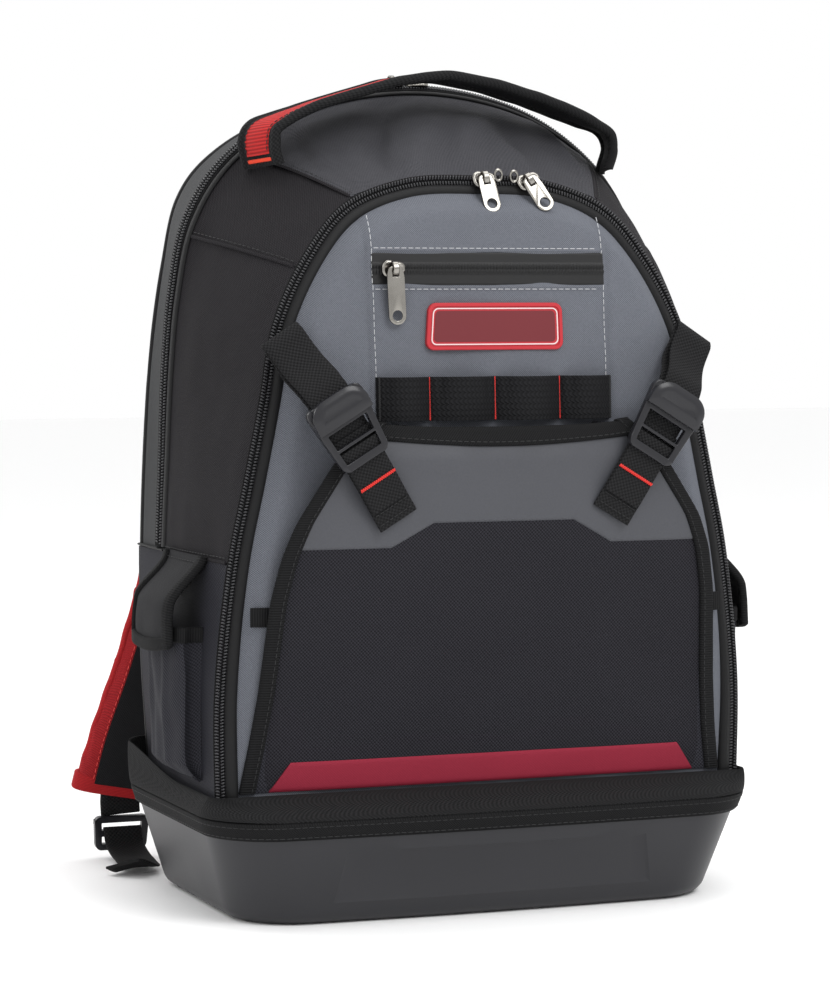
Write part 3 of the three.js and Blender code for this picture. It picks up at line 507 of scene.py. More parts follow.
# Base webbing: a wide ribbed webbing that slopes in from the tray's rim to the foot of the bag and
# hides their join. Its ribs stand across it.
RIM_Z = TRAY["height"] / MM + 0.3
BAG = {"width": 330, "height": 482, "front_height": 427, "back_height": 474, "depth": 166,
       "front": -82, "lean": 15, "puff": 4, "rear_zip": 0.7, "padding": 13}
FOOT = {"half": BAG["width"] / 2 + 0.3, "front": BAG["front"] - 6.6,
        "back": BAG["front"] + BAG["depth"] + BAG["padding"] + 0.3, "rise": 13, "back_rise": 12}
RIB = {"pitch": 1.9, "height": 0.32}
BAND_STEPS = {"corner": 110, "side": 300}


def foot_ring(out):
    """The foot of the bag, where the webbing ends"""
    radii = [21 + out, 21 + out, 6 + out, 6 + out]
    half_y = (FOOT["back"] - FOOT["front"]) / 2 + out
    flat = plan_ring(FOOT["half"] + out, half_y, (FOOT["front"] + FOOT["back"]) / 2, radii,
                     0, BAND_STEPS["corner"], BAND_STEPS["side"])
    back = smoothstep(flat[:, 1], BAG["front"] + BAG["depth"] / 3, FOOT["back"])
    z = TRAY["height"] / MM + FOOT["rise"] + FOOT["back_rise"] * back
    return np.column_stack([flat, z])


rim_ring = tray_ring(TRAY["height"] / MM, 2.3, BAND_STEPS["corner"], BAND_STEPS["side"])
rim_ring[:, 2] = RIM_Z + 0.2
bag_ring = foot_ring(2.0)
ribs = np.abs(np.sin(np.pi * lengths(rim_ring) / RIB["pitch"])) * RIB["height"]
steep = bag_ring - rim_ring
webbing_rows = []
for share in np.linspace(0, 1, 11):
    swell = 0.9 * math.sin(math.pi * share) ** 0.5
    row = rim_ring * (1 - share) + bag_ring * share
    outwards = unit(row * (1, 1, 0))
    normal = unit(outwards * (steep[:, 2:] / 20) + np.array([0, 0, 0.6]))
    webbing_rows.append(row + normal * (swell + ribs * (0.25 + 0.75 * swell))[:, None])
ribbed = woven("ribbed_webbing", rgb(41, 41, 42), rgb(9, 9, 10), 0.0027, 0.0004, roughness=0.8,
               fleck=0.15)
webbing = shell("base_ribbed_webbing", np.stack(webbing_rows, 1), (0, 0, 40), loop=True,
                thickness=1.5)
settle(webbing, ribbed, "black_webbing", "base_webbing")


# Body of the bag: polyester cloth cut to three arches, the front zip's, the rear zip's and the
# back's. The gusset between the zips is sewn from a top panel, two shoulders and two sides.
ARCHES = {
    "front": {"share": 0.0, "top": BAG["front_height"], "rows": [
        (0.992, 0), (0.994, 0.19), (0.945, 0.397), (0.891, 0.515), (0.827, 0.652),
        (0.776, 0.762), (0.655, 0.871), (0.497, 0.953), (0.26, 0.994), (0, 1)]},
    "rear": {"share": BAG["rear_zip"], "top": BAG["height"], "rows": [
        (0.986, 0), (0.984, 0.185), (0.968, 0.344), (0.957, 0.46), (0.943, 0.6),
        (0.918, 0.706), (0.865, 0.806), (0.728, 0.891), (0.43, 0.969), (0, 1)]},
    "back": {"share": 1.0, "top": BAG["back_height"], "rows": [
        (0.93, 0), (0.957, 0.185), (0.958, 0.35), (0.94, 0.529), (0.915, 0.652),
        (0.873, 0.763), (0.815, 0.86), (0.715, 0.915), (0.46, 0.976), (0, 1)]},
}
SEAM = {"lower": 1 - 2 / 9, "side": 0.352, "top": 0.203}


def arch_points(rows, top):
    """Half widths and heights, as shares, to points from the left foot over the top"""
    right = [np.array([half * BAG["width"] / 2, 0, RIM_Z + (top - RIM_Z) * height])
             for half, height in rows]
    return [point * (-1, 1, 1) for point in right[:-1]] + right[::-1]


def along_line(points, share):
    """A place on a smooth line through points, which rounds short spans as tightly as long ones"""
    last = len(points) - 1
    span = min(int(share * last), last - 1)
    step = share * last - span
    start, end = points[span], points[span + 1]
    before = points[span - 1] if span > 0 else 2 * start - end
    after = points[span + 2] if span + 2 <= last else 2 * end - start
    gaps = [max(np.dot(b - a, b - a) ** 0.25, 1e-4)
            for a, b in ((before, start), (start, end), (end, after))]
    leave = ((start - before) / gaps[0] - (end - before) / (gaps[0] + gaps[1])
             + (end - start) / gaps[1]) * gaps[1]
    reach = ((end - start) / gaps[1] - (after - start) / (gaps[1] + gaps[2])
             + (after - end) / gaps[2]) * gaps[1]
    return (start + leave * step + (3 * (end - start) - 2 * leave - reach) * step ** 2
            + (2 * (start - end) + leave + reach) * step ** 3)


ARCH_STEPS = 1200
arch_lines = {name: np.array([along_line(arch_points(arch["rows"], arch["top"]), share)
                              for share in np.linspace(0, 1, ARCH_STEPS + 1)])
              for name, arch in ARCHES.items()}


def skin(s, t, out=0.0):
    """A point of the bag's skin in millimetres. s runs from -1 at the left foot over the top to 1,
    t from 0 at the front zip to 1 at the back, and out is the distance off the skin."""
    low, high = ("front", "rear") if t <= BAG["rear_zip"] else ("rear", "back")
    share = (t - ARCHES[low]["share"]) / (ARCHES[high]["share"] - ARCHES[low]["share"])

    def between(place):
        index = min(max((place + 1) / 2, 0), 1) * ARCH_STEPS
        first = min(int(index), ARCH_STEPS - 1)
        rest = index - first
        pair = [arch_lines[name][first] * (1 - rest) + arch_lines[name][first + 1] * rest
                for name in (low, high)]
        return pair[0] * (1 - share) + pair[1] * share

    point = between(s)
    along = unit(between(min(s + 0.004, 1)) - between(max(s - 0.004, -1)))
    rise = (point[2] - RIM_Z) / (BAG["front_height"] - RIM_Z)
    puff = BAG["puff"] * math.sin(math.pi * t / BAG["rear_zip"]) if t < BAG["rear_zip"] else 0
    offset = out + puff * float(smoothstep(rise, 0.1, 0.5))
    lean = BAG["lean"] * max(0, (rise - 0.6) / 0.4) ** 1.5
    return np.array([point[0] - along[2] * offset,
                     BAG["front"] + BAG["depth"] * t + lean * max(0, 1 - t / BAG["rear_zip"]),
                     point[2] + along[0] * offset])


def rumple(point, size, depth, seed=0.0):
    """A soft, repeatable unevenness of cloth at a point"""
    return depth * noise.noise(Vector(point) / size + Vector((seed, seed, seed)))


def skin_cloth(name, s0, s1, t0, t1, steps, relief, thickness=1.5):
    grid = [[skin(s, t, relief(s, t)) for t in np.linspace(t0, t1, steps[1] + 1)]
            for s in np.linspace(s0, s1, steps[0] + 1)]
    return shell(name, grid, (0, 0, 230), thickness=thickness)


REAR = {"piping": 6, "zip": 9}
GUSSET = {"front": 0.4 / BAG["depth"],
          "rear": BAG["rear_zip"] - (REAR["piping"] + REAR["zip"] / 2) / BAG["depth"]}
TOP_FOLDS = [
    {"s": -0.08, "t": 0.34, "turn": 0.9, "wide": 0.02, "long": 0.26, "depth": -3.0},
    {"s": -0.05, "t": 0.18, "turn": 1.0, "wide": 0.022, "long": 0.2, "depth": 2.2},
    {"s": 0.03, "t": 0.3, "turn": 0.85, "wide": 0.02, "long": 0.25, "depth": 2.0},
    {"s": 0.09, "t": 0.33, "turn": -0.6, "wide": 0.022, "long": 0.25, "depth": -2.2},
    {"s": 0.15, "t": 0.42, "turn": -0.9, "wide": 0.014, "long": 0.18, "depth": 1.6},
    {"s": -0.16, "t": 0.46, "turn": 0.5, "wide": 0.012, "long": 0.14, "depth": -1.8},
]


def top_relief(s, t):
    """Pulls of the handle and the weight below it on the top panel"""
    depth = rumple((s * 330, t * 150, 0), 34, 2.4) + rumple((s * 330, t * 150, 0), 11, 0.5, 2.0)
    for fold in TOP_FOLDS:
        ahead = (t - fold["t"]) / fold["long"]
        aside = (s - fold["s"] - fold["turn"] * 0.2 * (t - fold["t"])) / fold["wide"]
        depth += 2.2 * fold["depth"] * math.exp(-ahead ** 2 - aside ** 2)
    edge = min(abs(s - SEAM["top"]), abs(s + SEAM["top"])) / 0.02
    hem = min(t - GUSSET["front"], GUSSET["rear"] - t) / 0.05
    return depth * min(1, hem) * min(1, edge) + 0.8 * math.exp(-(edge * 2 - 0.8) ** 2)


def side_relief(seed):
    def relief(s, t):
        point = (abs(s) * 330, t * 150, seed)
        hem = min(1, min(t - GUSSET["front"], GUSSET["rear"] - t) / 0.06)
        low = float(smoothstep(abs(s), 0.55, 0.75))
        return hem * (rumple(point, 60, 2.4 + low) + rumple(point, 20, 0.9, 4.0))
    return relief


dark_cloth = woven("dark_cloth", rgb(46, 44, 47), rgb(5, 4, 6), 0.0017, 0.00042)
top_cloth = woven("top_cloth", rgb(84, 84, 89), rgb(12, 12, 14), 0.0019, 0.0005, "twill", 0.7)
top = skin_cloth("gusset_top", -SEAM["top"], SEAM["top"], GUSSET["front"], GUSSET["rear"],
                 (150, 60), top_relief)
settle(top, top_cloth, "dark_fabric", "gusset")
for side, word in SIDES:
    for name, above, below, steps, seed in (("shoulder", "top", "side", (44, 50), 11.0),
                                            ("side", "side", "lower", (110, 44), 17.0)):
        cloth = skin_cloth(f"gusset_{name}_{word}", side * (SEAM[above] + 0.001),
                           side * SEAM[below], GUSSET["front"], GUSSET["rear"], steps,
                           side_relief(side * seed))
        settle(cloth, dark_cloth, "dark_fabric", "gusset")
    for kind in ("top", "side", "lower"):
        spots = np.linspace(GUSSET["front"] + 0.01, GUSSET["rear"] - 0.01, 40)
        line = np.array([skin(side * SEAM[kind], t, 0.5) for t in spots])
        out = np.array([skin(side * SEAM[kind], t, 3.5) for t in spots]) - line
        welt_out = unit(out)
        below = unit(np.cross(np.gradient(line, axis=0), welt_out))
        welt = [[point + welt_out[row] * 0.65 * math.cos(angle) + below[row] * 1.1 * math.sin(angle)
                 for angle in turns(8)] for row, point in enumerate(line)]
        settle(shell(f"gusset_welt_{kind}_{word}", welt, (0, 0, 230), ring=True, caps=True),
               dark_cloth, "dark_fabric", "gusset")
        seam(f"gusset_seam_{kind}_{word}", line + below * 2.6 + welt_out * 0.3, out, black_thread,
             "dark_fabric")


# Lower side panels: a tough coarse weave where the pouches are sewn, down to the base webbing.
def lower_relief(s, t):
    return rumple((s * 300, t * 150, 0), 40, 1.1) * min(1, (1 - abs(s)) / 0.05)


coarse_cloth = woven("coarse_cloth", rgb(54, 54, 61), rgb(9, 9, 11), 0.0021, 0.0004,
                     roughness=0.75, fleck=0.12)
for side, word in SIDES:
    low = skin_cloth(f"lower_side_cloth_{word}", side * (SEAM["lower"] + 0.002), side * 1.0,
                     GUSSET["front"], 1.01, (50, 60), lower_relief)
    settle(low, coarse_cloth, "coarse_fabric", f"lower_side_{word}")


# Zips and pipings: nylon coil zips on black tape. The front one has a smooth piping inside it, the
# rear one a thin piping in front of it.
def arch_run(end, t, out):
    """Points along an arch from its left end to its right one, and the ways off the skin there"""
    spots = np.linspace(-end, end, 400)
    points = np.array([skin(s, t, out) for s in spots])
    return points, unit(np.array([skin(s, t, out + 3) for s in spots]) - points)


def evenly(points, others, pitch):
    """The same lines at an even pitch"""
    steps = lengths(points)
    places = np.arange(pitch, steps[-1] - pitch, pitch)
    return [at_lengths(rows, steps, places) for rows in (points, others)]


def tube(name, points, sides, ups, section, inside=(0, 0, 230), loop=False):
    """A section, as pairs along sides and ups, swept along points"""
    grid = points[:, None] + sum(np.array(section)[None, :, axis:axis + 1] * way[:, None]
                                 for axis, way in enumerate((sides, ups)))
    return shell(name, grid, inside, ring=True, loop=loop, caps=not loop)


def oval(wide, high, count=14):
    return [(wide / 2 * math.cos(angle), high / 2 * math.sin(angle)) for angle in turns(count)]


def slab(wide, high, edge=0.6, count=6):
    """A flat section with rounded edges, as of webbing"""
    row = [(x, high / 2) for x in np.linspace(-wide / 2 + edge, wide / 2 - edge, count)]
    return row + [(wide / 2, high * 0.2), (wide / 2, -high * 0.2)] \
        + [(x, -y) for x, y in reversed(row)] + [(-wide / 2, -high * 0.2), (-wide / 2, high * 0.2)]


coil_nylon = moulded("coil_nylon", rgb(44, 44, 46), 0.24, 0.00001)
COIL = {"pitch": 1.8, "length": 2.5, "radius": 0.62, "row": 1.6}


def coil(name, points, sides, ups, slot):
    """Two rows of coil loops along a line, half a pitch apart"""
    middle, side = evenly(points, sides, COIL["pitch"])
    _, up = evenly(points, ups, COIL["pitch"])
    ahead = np.gradient(middle, axis=0)
    places, ways = [], []
    for sign, shift in ((-1, 0), (1, 0.5)):
        places.append(middle + side * sign * COIL["row"] + ahead * shift)
        ways.append(side + ahead * 0.12 * sign)
    teeth = threads(name, np.concatenate(places), np.concatenate(ways), np.concatenate([up, up]),
                    COIL["length"], COIL["radius"])
    return settle(teeth, coil_nylon, slot)


FRONT_ZIP = {"width": 5.5, "piping": 8, "piping_height": 3.4}
zip_tape = woven("zip_tape", rgb(22, 22, 23), rgb(9, 9, 10), 0.001, 0.00015, "rib", 0.85)
piping_cloth = woven("piping_cloth", rgb(22, 22, 23), rgb(13, 13, 14), 0.0007, 0.00006,
                     roughness=0.6, Specular_IOR_Level=0.2)
ends = 0.985
front_line, front_out = arch_run(ends, 0, -FRONT_ZIP["width"] / 2 - 0.2)
forwards = same((0, -1, 0), len(front_line))
tape_line = tube("front_zip_tape", front_line, front_out, forwards, slab(6.4, 1.6, 0.5, 4))
settle(tape_line, zip_tape, "black_zip", "front_zip")
coil("front_zip_coil", front_line + forwards * 1.3, front_out, forwards, "black_zip")
piping_line, piping_out = arch_run(ends, 0, -FRONT_ZIP["width"] - FRONT_ZIP["piping"] / 2)
piping = tube("front_piping_roll", piping_line + forwards * 0.8, piping_out, forwards,
              oval(FRONT_ZIP["piping"], 2 * FRONT_ZIP["piping_height"] + 1))
settle(piping, piping_cloth, "black_tape", "front_piping")

rear_end = SEAM["lower"] - 0.004
piping_t = GUSSET["rear"] + REAR["piping"] / 2 / BAG["depth"]
zip_t = GUSSET["rear"] + (REAR["piping"] + REAR["zip"] / 2) / BAG["depth"]
rear_line, rear_out = arch_run(rear_end, piping_t, 0.0)
rearwards = same((0, 1, 0), len(rear_line))
settle(tube("rear_piping_roll", rear_line, rearwards, rear_out, oval(REAR["piping"] + 1.2, 3.2)),
       piping_cloth, "black_tape", "rear_piping")
rear_line, rear_out = arch_run(rear_end, zip_t, 0.7)
rear_side = rearwards * 0.93 + rear_out * 0.37
rear_up = rear_out * 0.93 - rearwards * 0.37
settle(tube("rear_zip_tape", rear_line, rear_side, rear_up, slab(REAR["zip"], 1.6, 0.5, 4)),
       zip_tape, "black_zip", "rear_zip")
coil("rear_zip_coil", rear_line + rear_up * 1.2, rear_side, rear_up, "black_zip")


# Back shell: smooth coated cloth over moulded foam, which keeps the bag's back upright. It rolls
# over to the back panel in a rounded edge with a welt.
foam_cloth = woven("foam_cloth", rgb(43, 44, 46), rgb(34, 35, 36), 0.0009, 0.00008, roughness=0.6)
shell_front = zip_t + (REAR["zip"] / 2 - 0.6) / BAG["depth"]


def shell_relief(s, t):
    roll = (t - 0.93) / 0.07
    front = (shell_front + 0.03 - t) / 0.03
    return (-2.2 * max(0, roll) ** 2 + 1.9 * max(0, front) ** 2
            + rumple((s * 330, t * 150, 3), 70, 0.8))


rear_shell = skin_cloth("foam_shell", -SEAM["lower"] + 0.001, SEAM["lower"] - 0.001, shell_front,
                        1.012, (260, 40), shell_relief, thickness=6)
settle(rear_shell, foam_cloth, "foam_fabric", "rear_shell")
for side, word in SIDES:
    spots = np.linspace(GUSSET["rear"], 0.99, 30)
    foot = np.array([skin(side * SEAM["lower"], t, 0.2) for t in spots])
    foot_out = unit(np.array([skin(side * SEAM["lower"], t, 3.2) for t in spots]) - foot)
    settle(tube(f"foam_welt_{word}", foot, np.cross(np.gradient(foot, axis=0), foot_out)
                / 166 * len(spots), foot_out, oval(4.6, 4.4, 10)), piping_cloth, "black_tape")
rim_line, rim_out = arch_run(1, 0.985, -1.4)
settle(tube("back_welt", rim_line, same((0, 1, 0), len(rim_line)), rim_out,
            oval(4.4, 4.0)), piping_cloth, "black_tape")


# Front panel: blue-grey polyester, cut as one middle piece lapped over two side pieces and
# topstitched in pale thread. Its edge rolls under the piping.
front_rise = arch_lines["front"][ARCH_STEPS // 2:]
front_wide = np.maximum.accumulate(front_rise[:, 0])
PANEL = {"lift": 2, "bulge": 12, "fade": 28, "roll": 13, "left": -74, "right": 73.5}


def front_plane(z):
    rise = (z - RIM_Z) / (BAG["front_height"] - RIM_Z)
    return BAG["front"] + BAG["lean"] * np.maximum(0, (rise - 0.6) / 0.4) ** 1.5


def edge_gap(x, z):
    """How far a point lies inside the front arch"""
    half = np.interp(z, front_rise[::-1, 2], front_rise[::-1, 0])
    top = np.interp(np.abs(x), front_wide, front_rise[:, 2])
    gaps = np.stack(np.broadcast_arrays(half - np.abs(x), top - z))
    low = gaps.min(0)
    return low - 6 * np.log(np.exp(-(gaps - low) / 6).sum(0))


def panel_front(x, z):
    """The front of the grey panel in millimetres"""
    x, z = np.asarray(x, float), np.asarray(z, float)
    share = np.clip(edge_gap(x, z) / PANEL["fade"], 0, 1)
    bulge = PANEL["bulge"] * smoothstep(z, 62.3, 188.9) * (1 - (1 - share) ** 2)
    return front_plane(z) - PANEL["lift"] - bulge


def panel_relief(x, z):
    """Laps, lips and creases, outwards"""
    inner = smoothstep(x, PANEL["left"] - 0.7, PANEL["left"]) - smoothstep(x, PANEL["right"],
                                                                          PANEL["right"] + 0.7)
    upper = smoothstep(z, 280, 290)
    depth = 0.8 * inner * upper
    for lap in (PANEL["left"] - 1.2, PANEL["right"] + 1.2):
        depth = depth - 0.7 * np.exp(-((x - lap) / 1.3) ** 2) * upper
        depth = depth + 0.35 * np.exp(-((x - lap) / 5) ** 2) * np.sin(z / 5.5 + lap) * upper
    zipped = 1 - smoothstep(np.abs(x), 70, 73)
    for lip in (ZIP["z"] - ZIP["height"] / 2 - 1, ZIP["z"] + ZIP["height"] / 2 + 1):
        depth = depth + 0.9 * np.exp(-((z - lip) / 1.1) ** 2) * zipped
    window = smoothstep(z, ZIP["z"] - ZIP["height"] / 2, ZIP["z"] - ZIP["height"] / 2 + 1) \
        - smoothstep(z, ZIP["z"] + ZIP["height"] / 2 - 1, ZIP["z"] + ZIP["height"] / 2)
    return depth - 0.8 * window * zipped


ZIP = {"half": 72, "z": 373, "height": 19, "thickness": 1.4}
panel_rows = []
for share in np.linspace(0, 0.999, 220):
    edge = skin(share - 1, 0, -FRONT_ZIP["width"] - FRONT_ZIP["piping"] + 3.5)
    x = -edge[0] * np.linspace(-1, 1, 201)
    z = np.full(len(x), edge[2])
    roll = 1 - (1 - np.clip((edge_gap(x, z) - 10) / PANEL["roll"], 0, 1)) ** 2
    y = panel_front(x, z) - panel_relief(x, z)
    y = front_plane(z) - 0.6 + (y - front_plane(z) + 0.6) * (0.12 + 0.88 * roll)
    crease = [rumple(point, 48, 1.5, 2.0) + rumple(point, 19, 0.45, 7.0)
              for point in zip(x, z * 0.7, z * 0)]
    panel_rows.append(np.column_stack([x, y - np.array(crease) * roll, z]))
grey_cloth = woven("grey_cloth", rgb(116, 119, 127), rgb(50, 52, 57), 0.00125, 0.0002, "twill",
                   roughness=0.8)
grey_panel = shell("grey_panel", panel_rows, (0, 0, 230), thickness=1.2, upright=True)
settle(grey_panel, grey_cloth, "grey_fabric", "front_panel")
pale_thread = moulded("pale_thread", rgb(168, 169, 172), 0.6, 0.00002)


def on_panel(xs, zs, off):
    """Points on the panel and the way off it"""
    xs, zs = np.broadcast_arrays(np.asarray(xs, float), np.asarray(zs, float))
    y = panel_front(xs, zs) - panel_relief(xs, zs) - off
    return np.stack([xs, y, zs], -1), same((0, -1, 0), len(xs))


STITCH = {"off": 0.35, "hem": 2.2}
for name, xs, zs in (
        ("left", PANEL["left"] + STITCH["hem"], np.linspace(289, 406, 200)),
        ("right", PANEL["right"] - STITCH["hem"], np.linspace(289, 406, 200)),
        ("over_zip", np.linspace(-71, 71, 200), ZIP["z"] + ZIP["height"] / 2 + STITCH["hem"]),
        ("under_zip", np.linspace(-71, 71, 200), ZIP["z"] - ZIP["height"] / 2 - STITCH["hem"])):
    line, ups = on_panel(xs, zs, STITCH["off"])
    line[:, 1] += [-rumple((x, z * 0.7, 0), 48, 1.5, 2.0) - rumple((x, z * 0.7, 0), 19, 0.45, 7.0)
                   for x, _, z in line]
    seam(f"panel_stitches_{name}", line, ups, pale_thread, "grey_fabric", pitch=4.2, length=3.2,
         radius=0.24)


# Pocket zip: a coil zip set in backwards, so that its coated tape shows, with a fine line where
# its halves meet and the coil felt through it.
def zip_front(x, z):
    away = np.abs(z - ZIP["z"])
    coil_swell = 0.6 * (1 - smoothstep(away, 2.0, 3.6)) * (1 + 0.4 * np.sin(2 * math.pi * x / 1.8))
    line = 0.8 * np.exp(-(away / 0.45) ** 2)
    edge = 0.5 * smoothstep(away, 8.6, 9.5)
    return panel_front(x, z) - ZIP["thickness"] + 0.4 - coil_swell + line + edge


zip_x, zip_z = np.meshgrid(np.linspace(-ZIP["half"], ZIP["half"], 560),
                           ZIP["z"] + np.linspace(-9.4, 9.4, 46))
coated_tape = woven("coated_tape", rgb(17, 17, 18), rgb(10, 10, 11), 0.0007, 0.00004, roughness=0.5,
                    Specular_IOR_Level=0.3)
pocket_zip = shell("pocket_zip_tape", np.stack([zip_x, zip_front(zip_x, zip_z), zip_z], -1),
                   (0, 0, 370), thickness=1.0, upright=True)
settle(pocket_zip, coated_tape, "black_zip", "pocket_zip")


# Badge: a moulded rubber plate with a raised border round a sunk field and a fine pale line. It is
# glued and sewn on, and its field is bare.
BADGE = {"x": 2, "z": 340, "half": 42, "height": 27, "thick": 2.4, "corner": 5, "slant": 2.6}


def on_badge(obj, rise):
    """Cuts a flat plate at three levels, slants its left end and lays it on the panel"""
    for level in (334, 340, 346):
        pick("faces", lambda face: True)
        bpy.ops.mesh.bisect(plane_co=(0, 0, level * MM), plane_no=(0, 0, 1))
    bpy.ops.object.mode_set(mode="OBJECT")
    for vert in obj.data.vertices:
        x, y, z = np.array(vert.co) / MM
        if x < BADGE["x"]:
            x += BADGE["slant"] * (z - BADGE["z"]) / BADGE["height"]
        vert.co = Vector((x, y + float(panel_front(x, z)) - rise, z)) * MM


def badge_plate(name, inset, thick):
    """A plate as big as the badge less an inset, with rounded corners, open in edit mode"""
    scale = Vector((2 * (BADGE["half"] - inset), thick, BADGE["height"] - 2 * inset)) * MM
    obj = primitive(bpy.ops.mesh.primitive_cube_add, name, scale,
                    Vector((BADGE["x"], 0, BADGE["z"])) * MM, size=1)
    pick("edges", lambda edge: span(edge, 1) > thick * MM / 2)
    round_off((BADGE["corner"] - inset * 0.55) * MM, 8)
    return obj


plate = badge_plate("badge_plate", 0, BADGE["thick"])
pick("faces", lambda face: face.normal.y < -0.9)
bpy.ops.mesh.inset(thickness=0.0004, depth=0.0004)
bpy.ops.mesh.inset(thickness=0.0016)
bpy.ops.mesh.inset(thickness=0.0003, depth=-0.0007)
on_badge(plate, BADGE["thick"] / 2 + 0.3)
red_rubber = moulded("red_rubber", rgb(158, 34, 42), 0.45, 0.00003)
settle(plate, red_rubber, "red_rubber", "badge", angle=30)
for name, inset, wide, lift, material in (
        ("badge_line", 2.9, 0.7, 2.35, moulded("pale_rubber", rgb(196, 176, 176), 0.5, 0.00003)),
        ("badge_field", 4.6, 0, 2.1, moulded("dark_rubber", rgb(92, 26, 32), 0.5, 0.00005))):
    piece = badge_plate(name, inset, 1.0)
    if wide:
        pick("faces", lambda face: abs(face.normal.y) > 0.9)
        bpy.ops.mesh.inset(thickness=wide * MM)
        bpy.ops.mesh.bridge_edge_loops()
    on_badge(piece, lift)
    settle(piece, material, "red_rubber", angle=30)


# Tool loops: one run of webbing, tacked down in red every 40 mm so that it stands off in tubes.
LOOPS = {"z": 299, "height": 25, "seam": 0.8, "half": 73, "pitch": 40.4, "bulge": 10, "thick": 1.6}
herringbone = woven("herringbone_webbing", rgb(29, 29, 31), rgb(8, 8, 9), 0.0034, 0.0004, "chevron",
                    0.8, 0.12)
red_thread = moulded("red_thread", rgb(190, 40, 34), 0.5, 0.00002)
loop_seams = [LOOPS["seam"] + LOOPS["pitch"] * step for step in (-1, 0, 1)]
loop_bounds = [LOOPS["seam"] - LOOPS["half"], *loop_seams, LOOPS["seam"] + LOOPS["half"]]


def loop_front(x, z):
    cell = max(index for index, bound in enumerate(loop_bounds[:-1]) if x >= bound - 1e-6)
    share = (x - loop_bounds[cell]) / (loop_bounds[cell + 1] - loop_bounds[cell])
    arc = abs(math.sin(math.pi * min(max(share, 0), 1))) ** 0.8
    near = min(abs(x - bound) for bound in loop_bounds)
    height = (z - LOOPS["z"]) / LOOPS["height"]
    pleat = 1.3 * math.exp(-((near - 5.5) / 2.4) ** 2) * (0.5 + height) * (1 if cell % 2 else 0.6)
    sag = 1 - 0.22 * (0.5 - height) * (1 + 0.6 * math.sin(2.1 * cell))
    return float(panel_front(x, z)) - 0.3 - LOOPS["bulge"] * arc * sag + pleat


loop_grid = [[(x, loop_front(x, z) - LOOPS["thick"], z)
              for z in LOOPS["z"] + LOOPS["height"] * np.linspace(-0.5, 0.5, 13)]
             for x in np.linspace(loop_bounds[0], loop_bounds[-1], 300)]
loops = shell("tool_loop_webbing", loop_grid, (0, 0, 299), thickness=LOOPS["thick"])
settle(loops, herringbone, "black_webbing", "tool_loops")


def bartack(name, start, end, wide, up, material, slot, pitch=0.62):
    """A dense zigzag of thread between two points, across a line"""
    start, end, up = (np.array(value, float) for value in (start, end, up))
    count = int(np.linalg.norm(end - start) / pitch)
    way = unit(end - start)
    across = np.cross(way, up)
    places = start + (end - start) * np.linspace(0, 1, count)[:, None]
    slants = across + way * 0.25 * np.where(np.arange(count) % 2, 1, -1)[:, None]
    tack = threads(name, places, slants, same(up, count), wide, 0.36, sides=5)
    return settle(tack, material, slot)


for index, x in enumerate(loop_seams):
    low, high = LOOPS["z"] - 12, LOOPS["z"] + 12
    spots = [(x, loop_front(x, z) - LOOPS["thick"] - 0.25, z) for z in (low, high)]
    bartack(f"tool_loop_tack_{index}", *spots, 1.7, (0, -1, 0), red_thread, "black_webbing")
for index, x in enumerate((loop_bounds[0] + 1.5, loop_bounds[-1] - 1.5)):
    spots = [(x, loop_front(x, z) - LOOPS["thick"] - 0.25, z) for z in (low, high)]
    bartack(f"tool_loop_end_tack_{index}", *spots, 1.5, (0, -1, 0), black_thread, "black_webbing")


# Front pocket: a coarse coated weave below and smooth coated cloth above, joined by a stepped seam.
# The face bulges over what it holds, and folded sides join it to the panel.
POCKET = {"foot": 76, "height": 211, "half": 152, "bulge": 32, "sag": 5, "inner": 43, "outer": 68,
          "seam_high": 229, "seam_low": 215.3,
          "rows": [(0, 0.985, 0.14), (0.13, 0.955, 0.27), (0.27, 0.93, 0.44), (0.52, 0.9, 0.72),
                   (0.64, 0.865, 0.87), (0.73, 0.815, 0.96), (0.9, 0.66, 1), (1, 0.515, 0.9)]}
pocket_levels = np.linspace(0, 1, 401)
heights, halves, outs = np.array(POCKET["rows"]).T
kernel = np.exp(-np.linspace(-2.4, 2.4, 41) ** 2)
kernel /= kernel.sum()


def rounded(values):
    """A table's values over the pocket's height, with its corners rounded"""
    dense = np.interp(pocket_levels, heights, values)
    low = 2 * dense[0] - dense[1:21][::-1]
    high = 2 * dense[-1] - dense[-21:-1][::-1]
    return np.convolve(np.concatenate([low, dense, high]), kernel, "valid")


pocket_halves, pocket_outs = rounded(halves) * POCKET["half"], rounded(outs) * POCKET["bulge"]


def pocket_point(u, level, off=0.0):
    """A point of the pocket's face: u runs from -1 to 1 across it and level from 0 to 1 up it"""
    half = np.interp(level, pocket_levels, pocket_halves)
    x = u * half
    lip = POCKET["sag"] * (1 - u * u) * float(smoothstep(level, 0.86, 1))
    z = POCKET["foot"] + POCKET["height"] * level - lip
    crown = 2.6 * abs(u) ** 5 - 1.4 * (1 - u * u) * math.sin(math.pi * min(level, 1) ** 0.7)
    soft = (1 - u ** 8) * min(1, 4 * level)
    crease = rumple((x, z, 0), 55, 2.2, 5.0) + rumple((x, z, 0), 17, 0.4, 9.0)
    for side in (-1, 1):
        dent = ((x - side * 80) / 26) ** 2 + ((z - 250) / 20) ** 2
        crease -= 2.2 * math.exp(-dent)
    y = BAG["front"] - np.interp(level, pocket_levels, pocket_outs) + crown - crease * soft - off
    return np.array([x, y, z])


